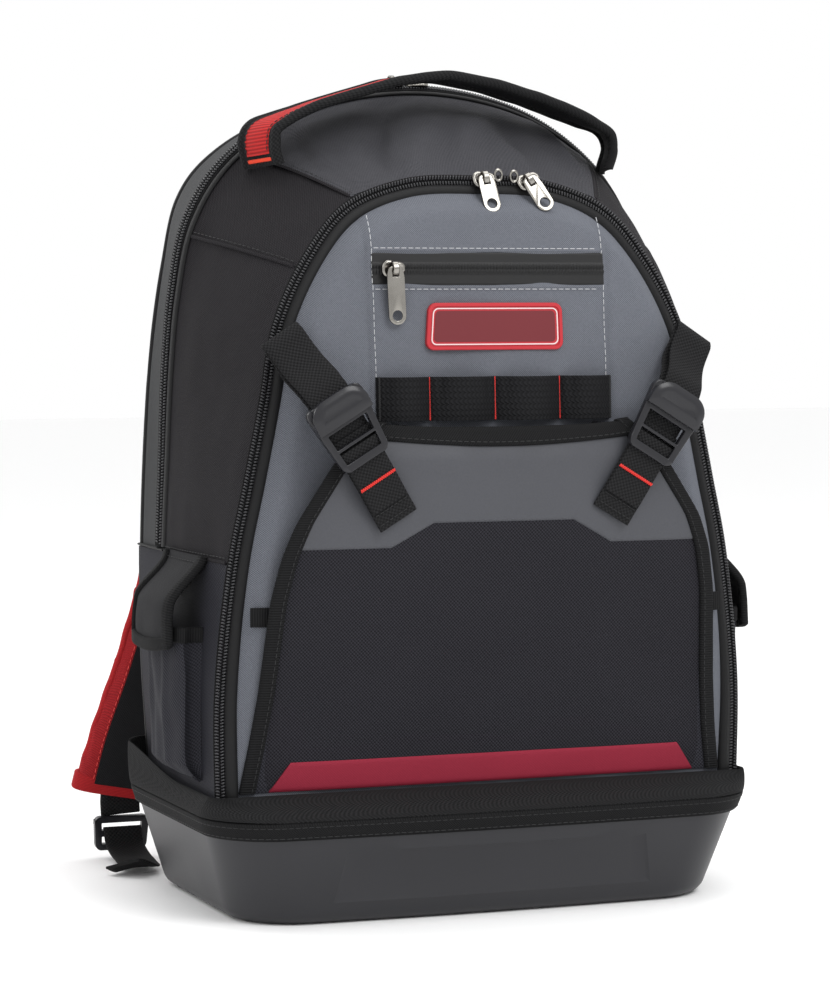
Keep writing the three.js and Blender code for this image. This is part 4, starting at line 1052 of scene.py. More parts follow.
def seam_level(u):
    """How far up the pocket its stepped seam crosses a column"""
    level = 0.7
    for _ in range(12):
        x = abs(u) * np.interp(level, pocket_levels, pocket_halves)
        z = np.interp(x, [POCKET["inner"], POCKET["outer"]],
                      [POCKET["seam_high"], POCKET["seam_low"]])
        level += 0.6 * ((z - POCKET["foot"]) / POCKET["height"] - level)
    return level


columns = np.linspace(-0.985, 0.985, 181)
step_levels = [seam_level(u) for u in columns]
lower = [[pocket_point(u, level * share) for u, level in zip(columns, step_levels)]
         for share in np.linspace(0, 1, 110)]
weave_cloth = woven("pocket_weave", rgb(46, 45, 51), rgb(8, 8, 10), 0.0021, 0.0004, roughness=0.78,
                    fleck=0.1)
body_cloth = shell("pocket_weave_face", lower, (0, 0, 180), thickness=1.6, upright=True)
settle(body_cloth, weave_cloth, "coarse_fabric", "pocket_body")
upper = [[pocket_point(u, level + (0.995 - level) * share,
                       0.9 * min(1, share * (0.995 - level) * POCKET["height"] / 1.4) ** 0.5)
          for u, level in zip(columns, step_levels)] for share in np.linspace(0, 1, 80)]
yoke_cloth = woven("yoke_cloth", rgb(72, 73, 78), rgb(54, 55, 59), 0.0008, 0.00004, roughness=0.52,
                   fleck=0.4, Specular_IOR_Level=0.3)
yoke = shell("pocket_yoke_face", upper, (0, 0, 180), thickness=1.6, upright=True)
settle(yoke, yoke_cloth, "coated_grey", "pocket_yoke")
for side, word in SIDES:
    wall_rows = []
    for level in np.linspace(0, 0.99, 90):
        edge = pocket_point(side * 0.975, level)
        deep = float(panel_front(edge[0], edge[2])) + 0.5
        wall_rows.append([(edge[0] - side * (16 * share + 3 * math.sin(math.pi * share)),
                           edge[1] + (deep - edge[1]) * share, edge[2])
                          for share in np.linspace(0, 1, 14)])
    wall = shell(f"pocket_side_{word}", wall_rows, (0, -90, 180), thickness=1.2)
    settle(wall, coarse_cloth, "coarse_fabric", "pocket_body")


# Stripe: crimson twill tape sewn along the pocket's foot, cut off at a slant at both ends.
STRIPE = {"height": 17, "foot": 133, "top": 121, "thick": 1.0}


def on_pocket(x, z, off):
    level = (z - POCKET["foot"]) / POCKET["height"]
    return pocket_point(x / np.interp(level, pocket_levels, pocket_halves), level, off)


stripe_rows = []
for share in np.linspace(0, 1, 22):
    half = STRIPE["foot"] + (STRIPE["top"] - STRIPE["foot"]) * share
    thick = STRIPE["thick"] * min(1, 8 * share, 8 * (1 - share) + 0.1) ** 0.5
    stripe_rows.append([on_pocket(x, POCKET["foot"] + STRIPE["height"] * share, thick + 0.1)
                        for x in np.linspace(-half, half, 150)])
crimson = woven("crimson_twill", rgb(146, 42, 60), rgb(104, 26, 40), 0.0009, 0.00012, "twill", 0.7)
settle(shell("crimson_stripe", stripe_rows, (0, 0, 84), thickness=0.9, upright=True), crimson,
       "crimson_fabric", "pocket_stripe")


# Binding: grosgrain tape folded round the pocket's edges, with a lockstitch near its inner edge.
BINDING = {"side": 9.4, "top": 11.5, "thick": 3.4, "hem": 2.2}


def bind(name, points, middle, wide):
    """A folded tape over an edge: points follow the edge, and middle the tape's own middle"""
    points, middle = np.array(points), np.array(middle)
    inward = unit(middle - points)
    ups = np.cross(inward, np.gradient(middle, axis=0))
    ups *= -np.sign(ups[:, 1:2]) / np.linalg.norm(ups, axis=1)[:, None]
    middle = middle - inward * 0.8
    band = tube(name, middle, inward, ups, slab(wide, BINDING["thick"], 0.9, 5), (0, 0, 180))
    settle(band, black_tape, "black_tape", "pocket_binding")
    line = middle + inward * (wide / 2 - BINDING["hem"]) + ups * (BINDING["thick"] / 2 + 0.1)
    seam(f"{name}_stitches", line, ups, black_thread, "black_tape", pitch=3.8, length=2.7)


for side, word in SIDES:
    levels = np.linspace(0, 1.0, 160)
    points = [pocket_point(side, level, 0.3) for level in levels]
    inner = [side * (1 - BINDING["side"] / 2 / np.interp(level, pocket_levels, pocket_halves))
             for level in levels]
    middle = [pocket_point(u, level, 0.6) for u, level in zip(inner, levels)]
    bind(f"pocket_binding_{word}", points, middle, BINDING["side"])
spots = np.linspace(-1, 1, 120)
top_middle = 1 - BINDING["top"] / 2 / POCKET["height"]
bind("pocket_binding_top", [pocket_point(u, 1.0, 0.3) for u in spots],
     [pocket_point(u, top_middle, 0.9) for u in spots], BINDING["top"])


# Tabs: short webbing loops between the pocket's sides and the piping.
TAB = {"z": 177, "height": 11, "thick": 1.5}
for side, word in SIDES:
    outer = np.interp(TAB["z"], front_rise[::-1, 2], front_rise[::-1, 0]) - 14.8
    xs = side * np.linspace(POCKET["half"] * 0.9 - 1, outer + 1, 24)
    line, ups = on_panel(xs, TAB["z"], TAB["thick"] / 2 + 0.3)
    tab = tube(f"side_tab_{word}", line, same((0, 0, 1), len(xs)), ups,
               slab(TAB["height"], TAB["thick"]), (0, 0, 177))
    settle(tab, black_tape, "black_tape", f"tab_{word}")


# Compression straps: webbing sewn to the pocket and webbing that comes over the piping meet in a
# moulded ladder lock, whose broad thumb tab lifts to let the webbing slip.
CINCH = {"x": -66, "z": 232, "tilt": math.asin(0.517), "width": 25, "thick": 1.6, "tack": 11.5}
BUCKLE = {"width": 38, "length": 42, "thick": 5, "at": 60}
black_plastic = moulded("black_plastic", rgb(31, 31, 34), 0.26, 0.00002)
strap_weave = woven("strap_webbing", rgb(36, 36, 37), rgb(8, 8, 9), 0.0026, 0.0004, roughness=0.8,
                    fleck=0.15)


def strip(name, points, sides, section, steps=60, inside=(0, 0, 230), wavy=0.0):
    """Flat webbing along a smooth line through a few points. sides gives its width's direction as a
    function of the share of its length."""
    points = [np.array(point, float) for point in points]
    shares = np.linspace(0, 1, steps)
    line = np.array([along_line(points, share) for share in shares])
    ahead = unit(np.gradient(line, axis=0))
    across = np.array([sides(share) for share in shares], float)
    across = unit(across - ahead * (across * ahead).sum(1)[:, None])
    ups = np.cross(across, ahead)
    if wavy:
        line = line + ups * np.array([[rumple(point, 14, wavy)] for point in line])
    return tube(name, line, across, ups, section, inside), line, across, ups


def grid_plate(name, xs, ys, holes, thick, taper, matrix, rounding):
    """A moulded plate on grid lines in millimetres, with some cells left open. taper narrows it
    towards its low end, and matrix puts it in place."""
    obj = primitive(bpy.ops.mesh.primitive_grid_add, name, (1, 1, 1), x_subdivisions=len(xs) - 1,
                    y_subdivisions=len(ys) - 1, size=2)
    mesh = bmesh.from_edit_mesh(obj.data)
    for vert in mesh.verts:
        column = round((vert.co.x + 1) / 2 * (len(xs) - 1))
        row = round((vert.co.y + 1) / 2 * (len(ys) - 1))
        vert.co.x, vert.co.y = xs[column] * MM, ys[row] * MM
    bmesh.update_edit_mesh(obj.data)

    def cell(face):
        x, y = np.array(face.calc_center_median()[:2]) / MM
        return (sum(x > line for line in xs) - 1, sum(y > line for line in ys) - 1)

    pick("faces", lambda face: cell(face) in holes)
    bpy.ops.mesh.delete(type="FACE")
    pick("faces", lambda face: True)
    bpy.ops.mesh.extrude_region_move(TRANSFORM_OT_translate={"value": (0, 0, thick * MM)})
    corners = [(x, y) for x in (xs[0], xs[-1]) for y in (ys[0], ys[-1])]
    pick("edges", lambda edge: span(edge, 2) > thick * MM / 2
         and any(abs(edge.verts[0].co.x / MM - x) + abs(edge.verts[0].co.y / MM - y) < 0.01
                 for x, y in corners))
    round_off(rounding * MM, 5)
    for vert in bmesh.from_edit_mesh(obj.data).verts:
        share = (vert.co.y / MM - ys[0]) / (ys[-1] - ys[0])
        vert.co.x *= taper + (1 - taper) * share
        vert.co.z -= thick * MM / 2
    bpy.ops.mesh.select_all(action="SELECT")
    bpy.ops.mesh.normals_make_consistent(inside=False)
    soften(obj, 0.7, 3, 50)
    obj.data.transform(matrix)
    return obj


def facing(centre, wide, long):
    """The matrix that turns a flat piece so that x runs along wide and y along long"""
    x = Vector(wide).normalized()
    y = (Vector(long) - x * Vector(long).dot(x)).normalized()
    turn = Matrix((x, y, x.cross(y))).transposed().to_4x4()
    return Matrix.Translation(Vector(centre) * MM) @ turn


for side, word in SIDES:
    up = np.array([side * math.sin(CINCH["tilt"]), 0, math.cos(CINCH["tilt"])])
    across = np.array([-side * math.cos(CINCH["tilt"]), 0, math.sin(CINCH["tilt"])])
    foot = np.array([side * -CINCH["x"], 0, CINCH["z"]])

    def at(distance, y, aside=0.0):
        return foot + up * distance + across * aside + np.array([0, y, 0])

    def over(distance, off):
        point = at(distance, 0)
        reach = min(float(panel_front(point[0] + shift, point[2])) for shift in (-12.5, 0, 12.5))
        return at(distance, reach - off)

    section = slab(CINCH["width"], CINCH["thick"], 0.6, 7)
    strap, *_ = strip(
        f"pocket_strap_{word}",
        [at(-1, -115.6), at(12, -116.4), at(30, -117.4), at(48, -117.6), at(57, -118.6)],
        lambda share: across, section, 60, wavy=0.5)
    settle(strap, strap_weave, "black_webbing", f"pocket_strap_{word}")
    tail, *_ = strip(
        f"pocket_strap_fold_{word}",
        [at(10, -117.6), at(24, -118.7), at(36, -119.4), at(50, -121.2)],
        lambda share: across, slab(CINCH["width"] - 0.8, 1.4, 0.6, 7), 50, wavy=0.4)
    settle(tail, strap_weave, "black_webbing")
    bartack(f"pocket_strap_tack_{word}", at(26, -120.2, -CINCH["tack"]),
            at(26, -120.2, CINCH["tack"]), 1.9, (0, -1, 0), red_thread, "black_webbing")
    for distance in (2.5, 8.5):
        line = np.array([at(distance, -117.3 - distance * 0.02, aside)
                         for aside in np.linspace(-CINCH["tack"], CINCH["tack"], 20)])
        seam(f"pocket_strap_stitches_{word}_{distance:.0f}", line, same((0, -1, 0), len(line)),
             black_thread, "black_webbing", pitch=3.2, length=2.4, radius=0.25)

    long, *_ = strip(
        f"piping_strap_{word}",
        [at(51, -116.6), at(57, -117.0), at(66, -117.2), at(76, -114.8), at(88, -108.5),
         over(99, 4.5), over(109, 4.0), over(119, 3.4)],
        lambda share: across, section, 80, wavy=0.6)
    settle(long, strap_weave, "black_webbing", f"piping_strap_{word}")
    loose, *_ = strip(
        f"piping_strap_tail_{word}",
        [at(70, -121.5), at(78, -120.5), at(90, -115.5), over(104, 9.5), over(118, 7.6),
         over(121.5, 4.4), over(117, 3.0)],
        lambda share: across + up * 0.05 * math.sin(3 * share), section, 90, wavy=0.8)
    settle(loose, strap_weave, "black_webbing")

    centre = at(BUCKLE["at"], -120.6)
    matrix = facing(centre, -across * side, up)
    half, end = BUCKLE["width"] / 2, BUCKLE["length"] / 2
    frame_xs = [-half, -half + 4.6, half - 4.6, half]
    body = grid_plate(f"pocket_buckle_frame_{word}", frame_xs,
                      [-end, -end + 4.6, -end + 12.6, -end + 14.4, -end + 24, end],
                      {(1, 1), (1, 3)}, BUCKLE["thick"], 0.8, matrix, 6)
    settle(body, black_plastic, "black_plastic", f"pocket_buckle_{word}", angle=35)
    thumb = primitive(bpy.ops.mesh.primitive_cube_add, f"pocket_buckle_thumb_{word}",
                      ((BUCKLE["width"] - 2) * MM, 17 * MM, 4.6 * MM),
                      (0, (end - 7) * MM, 3.9 * MM), size=1)
    pick("edges", lambda edge: span(edge, 2) > 4 * MM and edge.verts[0].co.y > (end - 8) * MM)
    round_off(11 * MM, 9)
    pick("faces", lambda face: face.normal.z > 0.9)
    bpy.ops.mesh.inset(thickness=0.0022, depth=0.0011)
    bpy.ops.mesh.inset(thickness=0.003, depth=0.0005)
    bpy.ops.mesh.inset(thickness=0.0012, depth=-0.0006)
    for vert in bmesh.from_edit_mesh(thumb.data).verts:
        vert.co.z -= 0.0016 * max(0, (end * MM - vert.co.y) / 0.02 - 0.3)
    soften(thumb, 0.9, 4, 40)
    thumb.data.transform(matrix)
    settle(thumb, black_plastic, "black_plastic", f"pocket_buckle_{word}", angle=40)


# Carrying handle: black webbing box-tacked into the shoulder seams, with a ribbed red cover sewn
# along its outer face.
HANDLE = {"y": -8, "foot": 433.02, "rise": 490, "span": 110, "width": 38, "thick": 3,
          "cover": 25, "cover_thick": 1.4,
          "off": 4.8, "rows": [(1.015, 0.25), (0.99, 0.4), (0.87, 0.54), (0.71, 0.66),
                               (0.49, 0.81), (0.25, 0.93)]}
handle_t = (HANDLE["y"] - BAG["front"] - BAG["lean"] * 0.4) / BAG["depth"]
seat_s = min(np.arange(0.1, 0.6, 0.002),
             key=lambda s: abs(skin(s, handle_t, HANDLE["off"])[2] - HANDLE["foot"]))
seat = skin(seat_s, handle_t, HANDLE["off"])
slope = unit(skin(seat_s, handle_t + 0.06) - skin(seat_s, handle_t - 0.06))
handle_top = HANDLE["rise"] - HANDLE["thick"] / 2 - HANDLE["cover_thick"] - 0.3
handle_half = [seat] + [np.array([x * HANDLE["span"], HANDLE["y"],
                                  HANDLE["foot"] + (handle_top - HANDLE["foot"]) * z])
                        for x, z in HANDLE["rows"]]
handle_points = [point * (-1, 1, 1) for point in handle_half] \
    + [np.array([0, HANDLE["y"], handle_top])] + handle_half[::-1]


def handle_side(share):
    turn = float(smoothstep(0.5 - abs(share - 0.5), 0, 0.3))
    side = 1 if share > 0.5 else -1
    return slope * (side, 1, 1) * (1 - turn) + np.array([0, 1, 0]) * turn


def cupped(section, depth, wide):
    """Bends a flat section so that its long edges curl in"""
    return [(x, y - depth * (2 * x / wide) ** 2) for x, y in section]


grip, grip_line, grip_sides, grip_ups = strip(
    "handle_grip", handle_points, handle_side,
    cupped(slab(HANDLE["width"], HANDLE["thick"], 1.1, 11), 1.6, HANDLE["width"]), 260, (0, 0, 400),
    wavy=0.8)
settle(grip, herringbone, "black_webbing", "handle_webbing")
outer = grip_ups * np.sign(grip_ups[130, 2])
for name, aside in (("front", -1), ("rear", 1)):
    roll = grip_line + grip_sides * aside * (HANDLE["width"] / 2 - 2.2) + outer * 0.4
    settle(tube(f"handle_roll_{name}", roll, grip_sides, outer, oval(6.4, 6, 14)), strap_weave,
           "black_webbing", "handle_webbing")
cover_line = grip_line + outer * (HANDLE["thick"] / 2 + 0.8)
cover_cloth = woven("handle_cover_ribs", rgb(196, 44, 42), rgb(110, 18, 22), 0.0021, 0.0003, "rib",
                    0.7)
cover = tube("handle_cover_webbing", cover_line[9:-9], grip_sides[9:-9], outer[9:-9],
             cupped(slab(HANDLE["cover"], HANDLE["cover_thick"], 0.6, 9), 0.9, HANDLE["cover"]),
             (0, 0, 400))
settle(cover, cover_cloth, "red_webbing", "handle_cover")
for name, aside in (("front", -HANDLE["cover"] / 2 + 1.6), ("rear", HANDLE["cover"] / 2 - 1.6)):
    line = cover_line + grip_sides * aside + outer * 0.35
    seam(f"handle_stitches_{name}", line[11:-11], outer[11:-11], black_thread, "red_webbing",
         pitch=3.6, length=2.6)
orange_thread = moulded("orange_thread", rgb(214, 66, 40), 0.5, 0.00002)
for name, row in (("left", 5), ("right", -6)):
    tack = grip_line[row] + outer[row] * (HANDLE["thick"] / 2 + 0.5)
    bartack(f"handle_tack_{name}", tack - grip_sides[row] * 12, tack + grip_sides[row] * 12, 2.4,
            outer[row], orange_thread, "red_webbing")


# Side pouches: bellows pockets of the coarse weave, sewn on the lower sides, with taped mouths and
# padded flaps that are sewn above them and hang over their mouths.
POUCH = {"front": -58, "rear": 12, "foot": 81, "top": 168, "depth": 17, "flap_top": 209,
         "flap_drop": 54}
side_tables = {}


def side_x(y, z):
    """Half the width of the bag's side at a place"""
    t = round(min(max((y - BAG["front"]) / BAG["depth"], 0), 1), 3)
    if t not in side_tables:
        side_tables[t] = np.array([skin(s, t) for s in np.linspace(0.45, 1, 60)])[::-1]
    return float(np.interp(z, side_tables[t][:, 2], side_tables[t][:, 0]))


flap_cloth = woven("flap_cloth", rgb(44, 44, 46), rgb(20, 20, 22), 0.0013, 0.0002, roughness=0.8)
for side, word in SIDES:
    pouch_rows = []
    for v in np.linspace(0, 1, 60):
        z = POUCH["foot"] + (POUCH["top"] - POUCH["foot"]) * v
        row = []
        for w in np.linspace(0, 1, 61):
            u = min(max((w - 0.12) / 0.76, 0), 1)
            wall = min(1, w / 0.12, (1 - w) / 0.12)
            y = POUCH["front"] + (POUCH["rear"] - POUCH["front"]) * u
            crown = POUCH["depth"] * (1 - 0.35 * (2 * u - 1) ** 4) * (0.8 + 0.2 * v)
            fold = rumple((y, z * 0.6, side * 20), 16, 1.7, 3.0) * wall + \
                1.6 * math.exp(-((u - 0.3) / 0.06) ** 2) - 1.6 * math.exp(-((u - 0.72) / 0.07) ** 2)
            close = min(1, v / 0.1) ** 0.5
            tuck = 3.0 * math.sin(math.pi * wall) * (1 if w < 0.5 else -1)
            out = 0.3 + crown * wall * close + fold * wall * close
            row.append((side * (side_x(y, z) + out), y + tuck, z))
        pouch_rows.append(row)
    pouch = shell(f"side_pouch_cloth_{word}", pouch_rows, (0, -23, 120), thickness=1.4)
    settle(pouch, coarse_cloth, "coarse_fabric", f"side_pouch_{word}")
    rim = np.array(pouch_rows[-1])
    tape_sides = same((0, 0, 1), len(rim))
    tape_ups = unit(np.cross(tape_sides, np.gradient(rim, axis=0)))
    rim_tape = tube(f"side_pouch_tape_{word}", rim - tape_sides * 3.5, tape_sides, tape_ups,
                    slab(9, 3, 0.8, 4), (0, -23, 120))
    settle(rim_tape, black_tape, "black_tape")

    flap_rows = []
    for v in np.linspace(0, 1, 44):
        z = POUCH["flap_top"] - POUCH["flap_drop"] * (1 - v)
        row = []
        for u in np.linspace(0, 1, 40):
            y = POUCH["front"] + 2 + (POUCH["rear"] - POUCH["front"] - 4) * u
            corner = (2 * u - 1) ** 2
            out = (POUCH["depth"] + 4) * (1 - float(smoothstep(v, 0.45, 1))) * (1 - 0.2 * corner)
            dent = rumple((y, z, side * 9), 20, 1.5, 6.0) * min(1, 6 * (1 - v))
            row.append((side * (side_x(y, z) + 2.6 + out + dent), y, z + 3 * (1 - v) * corner))
        flap_rows.append(row)
    flap = shell(f"pouch_flap_cloth_{word}", flap_rows, (0, -23, 180), thickness=2)
    settle(flap, flap_cloth, "dark_fabric", f"pouch_flap_{word}")
    flap_grid = np.array(flap_rows)
    border = np.concatenate([flap_grid[::-1, 0], flap_grid[0, 1:-1], flap_grid[:, -1]])
    inward = unit(np.concatenate([flap_grid[::-1, 3] - flap_grid[::-1, 0],
                                  flap_grid[3, 1:-1] - flap_grid[0, 1:-1],
                                  flap_grid[:, -4] - flap_grid[:, -1]]))
    flap_ups = unit(np.cross(np.gradient(border, axis=0), inward))
    flap_tape = tube(f"pouch_flap_tape_{word}", border + inward * 2.4, inward, flap_ups,
                     slab(7.5, 4.4, 0.9, 4), (0, -23, 180))
    settle(flap_tape, black_tape, "black_tape")
    outwards = same((side, 0, 0), flap_grid.shape[1])
    seam(f"pouch_flap_stitches_{word}", flap_grid[-4] + outwards * 0.5, outwards, black_thread,
         "dark_fabric")


# Back panel: open-faced mesh cloth, quilted over the foam shell, with two long pads and a lumbar
# pad under it. The pads are swollen as cloth under air pressure.
BACK = {"plane": BAG["front"] + BAG["depth"], "edge": 2.5, "pad": 10.5, "fade": 34}
PUFF = {"voxel": 0.0045, "pressure": 4.0, "frames": 20}
back_side = arch_lines["back"][ARCH_STEPS // 2:]


def mesh_cloth(name, colour, dark, cell):
    """Spacer mesh: round holes in rows, on the piece's own place because padding has no UVs"""
    surface = Surface(name)
    where, x, y, z = surface.place("Object")
    turn = 2 * math.pi / cell
    slants = (x + z * 0.58, x - z * 0.58)
    waves = [(slant * turn).sine() for slant in slants]
    hole = waves[0] * waves[1] * 0.5 + 0.5
    cloud = surface.noise(where, 11, 3)
    tone = surface.clouded(surface.mix(hole, dark, colour), cloud, 0.85, 1.15)
    return surface.finish(tone, cloud * 0.1 + 0.78, hole, 0.00035, Specular_IOR_Level=0.12)


def swell(obj, cap):
    """Swells a closed shape as cloth under pressure, and lets no point move further than cap"""
    finish_with(obj, "REMESH", mode="VOXEL", voxel_size=PUFF["voxel"], use_smooth_shade=True)
    before = np.empty(len(obj.data.vertices) * 3)
    obj.data.vertices.foreach_get("co", before)
    modifier = obj.modifiers.new("air", "CLOTH")
    modifier.settings.quality = 5
    modifier.settings.mass = 0.3
    modifier.settings.tension_stiffness = 15
    modifier.settings.compression_stiffness = 15
    modifier.settings.bending_stiffness = 0.5
    modifier.settings.use_pressure = True
    modifier.settings.uniform_pressure_force = PUFF["pressure"]
    modifier.settings.effector_weights.gravity = 0
    modifier.point_cache.frame_start = 1
    modifier.point_cache.frame_end = PUFF["frames"]
    for step in range(1, PUFF["frames"] + 1):
        bpy.context.scene.frame_set(step)
    swollen = obj.evaluated_get(bpy.context.evaluated_depsgraph_get())
    after = np.empty_like(before)
    swollen.data.vertices.foreach_get("co", after)
    obj.modifiers.remove(modifier)
    bpy.context.scene.frame_set(1)
    move = (after - before).reshape(-1, 3)
    far = np.linalg.norm(move, axis=1)
    move *= (np.minimum(far, cap * MM) / np.maximum(far, 1e-9))[:, None]
    obj.data.vertices.foreach_set("co", before + move.ravel())
    obj.data.update()
    finish_with(obj, "SUBSURF", levels=1, render_levels=1)
    return obj


def back_face(x, z):
    half = np.interp(z, back_side[::-1, 2], back_side[::-1, 0])
    side = min(max((half - abs(x)) / BACK["fade"], 0), 1)
    return BACK["plane"] + BACK["edge"] + (BACK["pad"] - 5.5) * (1 - (1 - side) ** 2)


back_mesh = mesh_cloth("back_mesh", rgb(52, 52, 55), rgb(14, 14, 15), 0.0034)
back_rows = []
for share in np.linspace(0, 0.999, 130):
    edge = skin(share - 1, 1, -0.6)
    row = []
    for u in np.linspace(-1, 1, 101):
        x, z = -edge[0] * u, edge[2]
        quilt = 1.1 * math.exp(-(math.sin((abs(x) + z * 0.55) / 26) / 0.16) ** 2)
        row.append((x, back_face(x, z) - quilt, z))
    back_rows.append(row)
back_cloth = shell("back_mesh_cloth", back_rows, (0, 0, 230), thickness=2, upright=True)
settle(back_cloth, back_mesh, "back_mesh", "back_panel")


def pad(name, x, half, z0, z1, y, thick, corner):
    """A closed pad on the back, with round corners seen from behind"""
    rows = []
    for share in np.linspace(0.002, 0.998, 60):
        z = z0 + (z1 - z0) * share
        gap = min(z - z0, z1 - z)
        wide = half - corner + math.sqrt(max(0, corner ** 2 - max(0, corner - gap) ** 2))
        high = thick * min(1, math.sqrt(gap / 14) + 0.1)
        rows.append([(x + wide * math.copysign(abs(math.cos(angle)) ** 0.55, math.cos(angle)),
                      y + high / 2 * math.sin(angle), z)
                     for angle in turns(48)])
    return shell(name, rows, (x, y, (z0 + z1) / 2), ring=True, caps=True)


for name, x, half, z0, z1 in (("back_pad_left", -66, 38, 168, 385),
                              ("back_pad_right", 66, 38, 168, 385),
                              ("back_pad_low", 0, 104, 92, 150)):
    cushion = swell(pad(name, x, half, z0, z1, BACK["plane"] + 7.5, 8, 22), 5)
    settle(cushion, back_mesh, "back_mesh", "back_panel")


# Shoulder straps: padded, red on the outside with a black lining, corded edges and webbing sewn
# along the middle. Each ends in a loop that holds a ladder lock, and webbing runs on from it.
STRAP_MIDDLE = (0, 60, 250)
STRAP = {"half": 27.6, "rise": 4.7, "cord": 4.8, "seam": 20.6, "lining": 15.5, "spread": 153,
         "swing": 62, "start": 103.9, "loop": 9, "webbing": 25}
STRAP_ROWS = [(0.31, 0, 0.9), (0.34, 0.03, 0.85), (0.42, 0.24, 0.79), (0.52, 0.43, 0.7),
              (0.66, 0.42, 0.57), (0.745, 0.26, 0.41), (0.805, 0.19, 0.3), (0.88, 0.42, 0.17),
              (0.955, 0.8, 0.04), (0.995, 1, -0.05)]
LOCK = {"width": 36, "length": 22, "thick": 4}


def padding_cloth(name, colour, dark, cell):
    """Close plain cloth on the piece's own place, for swollen pieces"""
    surface = Surface(name)
    where, x, y, z = surface.place("Object")
    turn = 2 * math.pi / cell
    slants = (x + y * 0.5, z + y * 0.5)
    waves = [(slant * turn).sine() for slant in slants]
    relief = waves[0] * waves[1] * 0.5 + 0.5
    cloud = surface.noise(where, 12, 3)
    hair = surface.noise(where, 800, 1)
    tone = surface.clouded(surface.mix(relief * 0.7 + hair * 0.3, dark, colour), cloud, 0.86, 1.12)
    return surface.finish(tone, cloud * 0.1 + 0.7, relief + hair * 0.3, 0.0002,
                          Specular_IOR_Level=0.15)


def laid(obj, points, ways, off=0.15):
    """Points moved onto a piece, along the ways off it"""
    found = []
    for point, way in zip(points, ways):
        hit, place, _, _ = obj.ray_cast(Vector(point + way * 15) * MM, -Vector(way))
        found.append(np.array(place) / MM + way * off if hit else point + way * 4)
    return np.array(found)


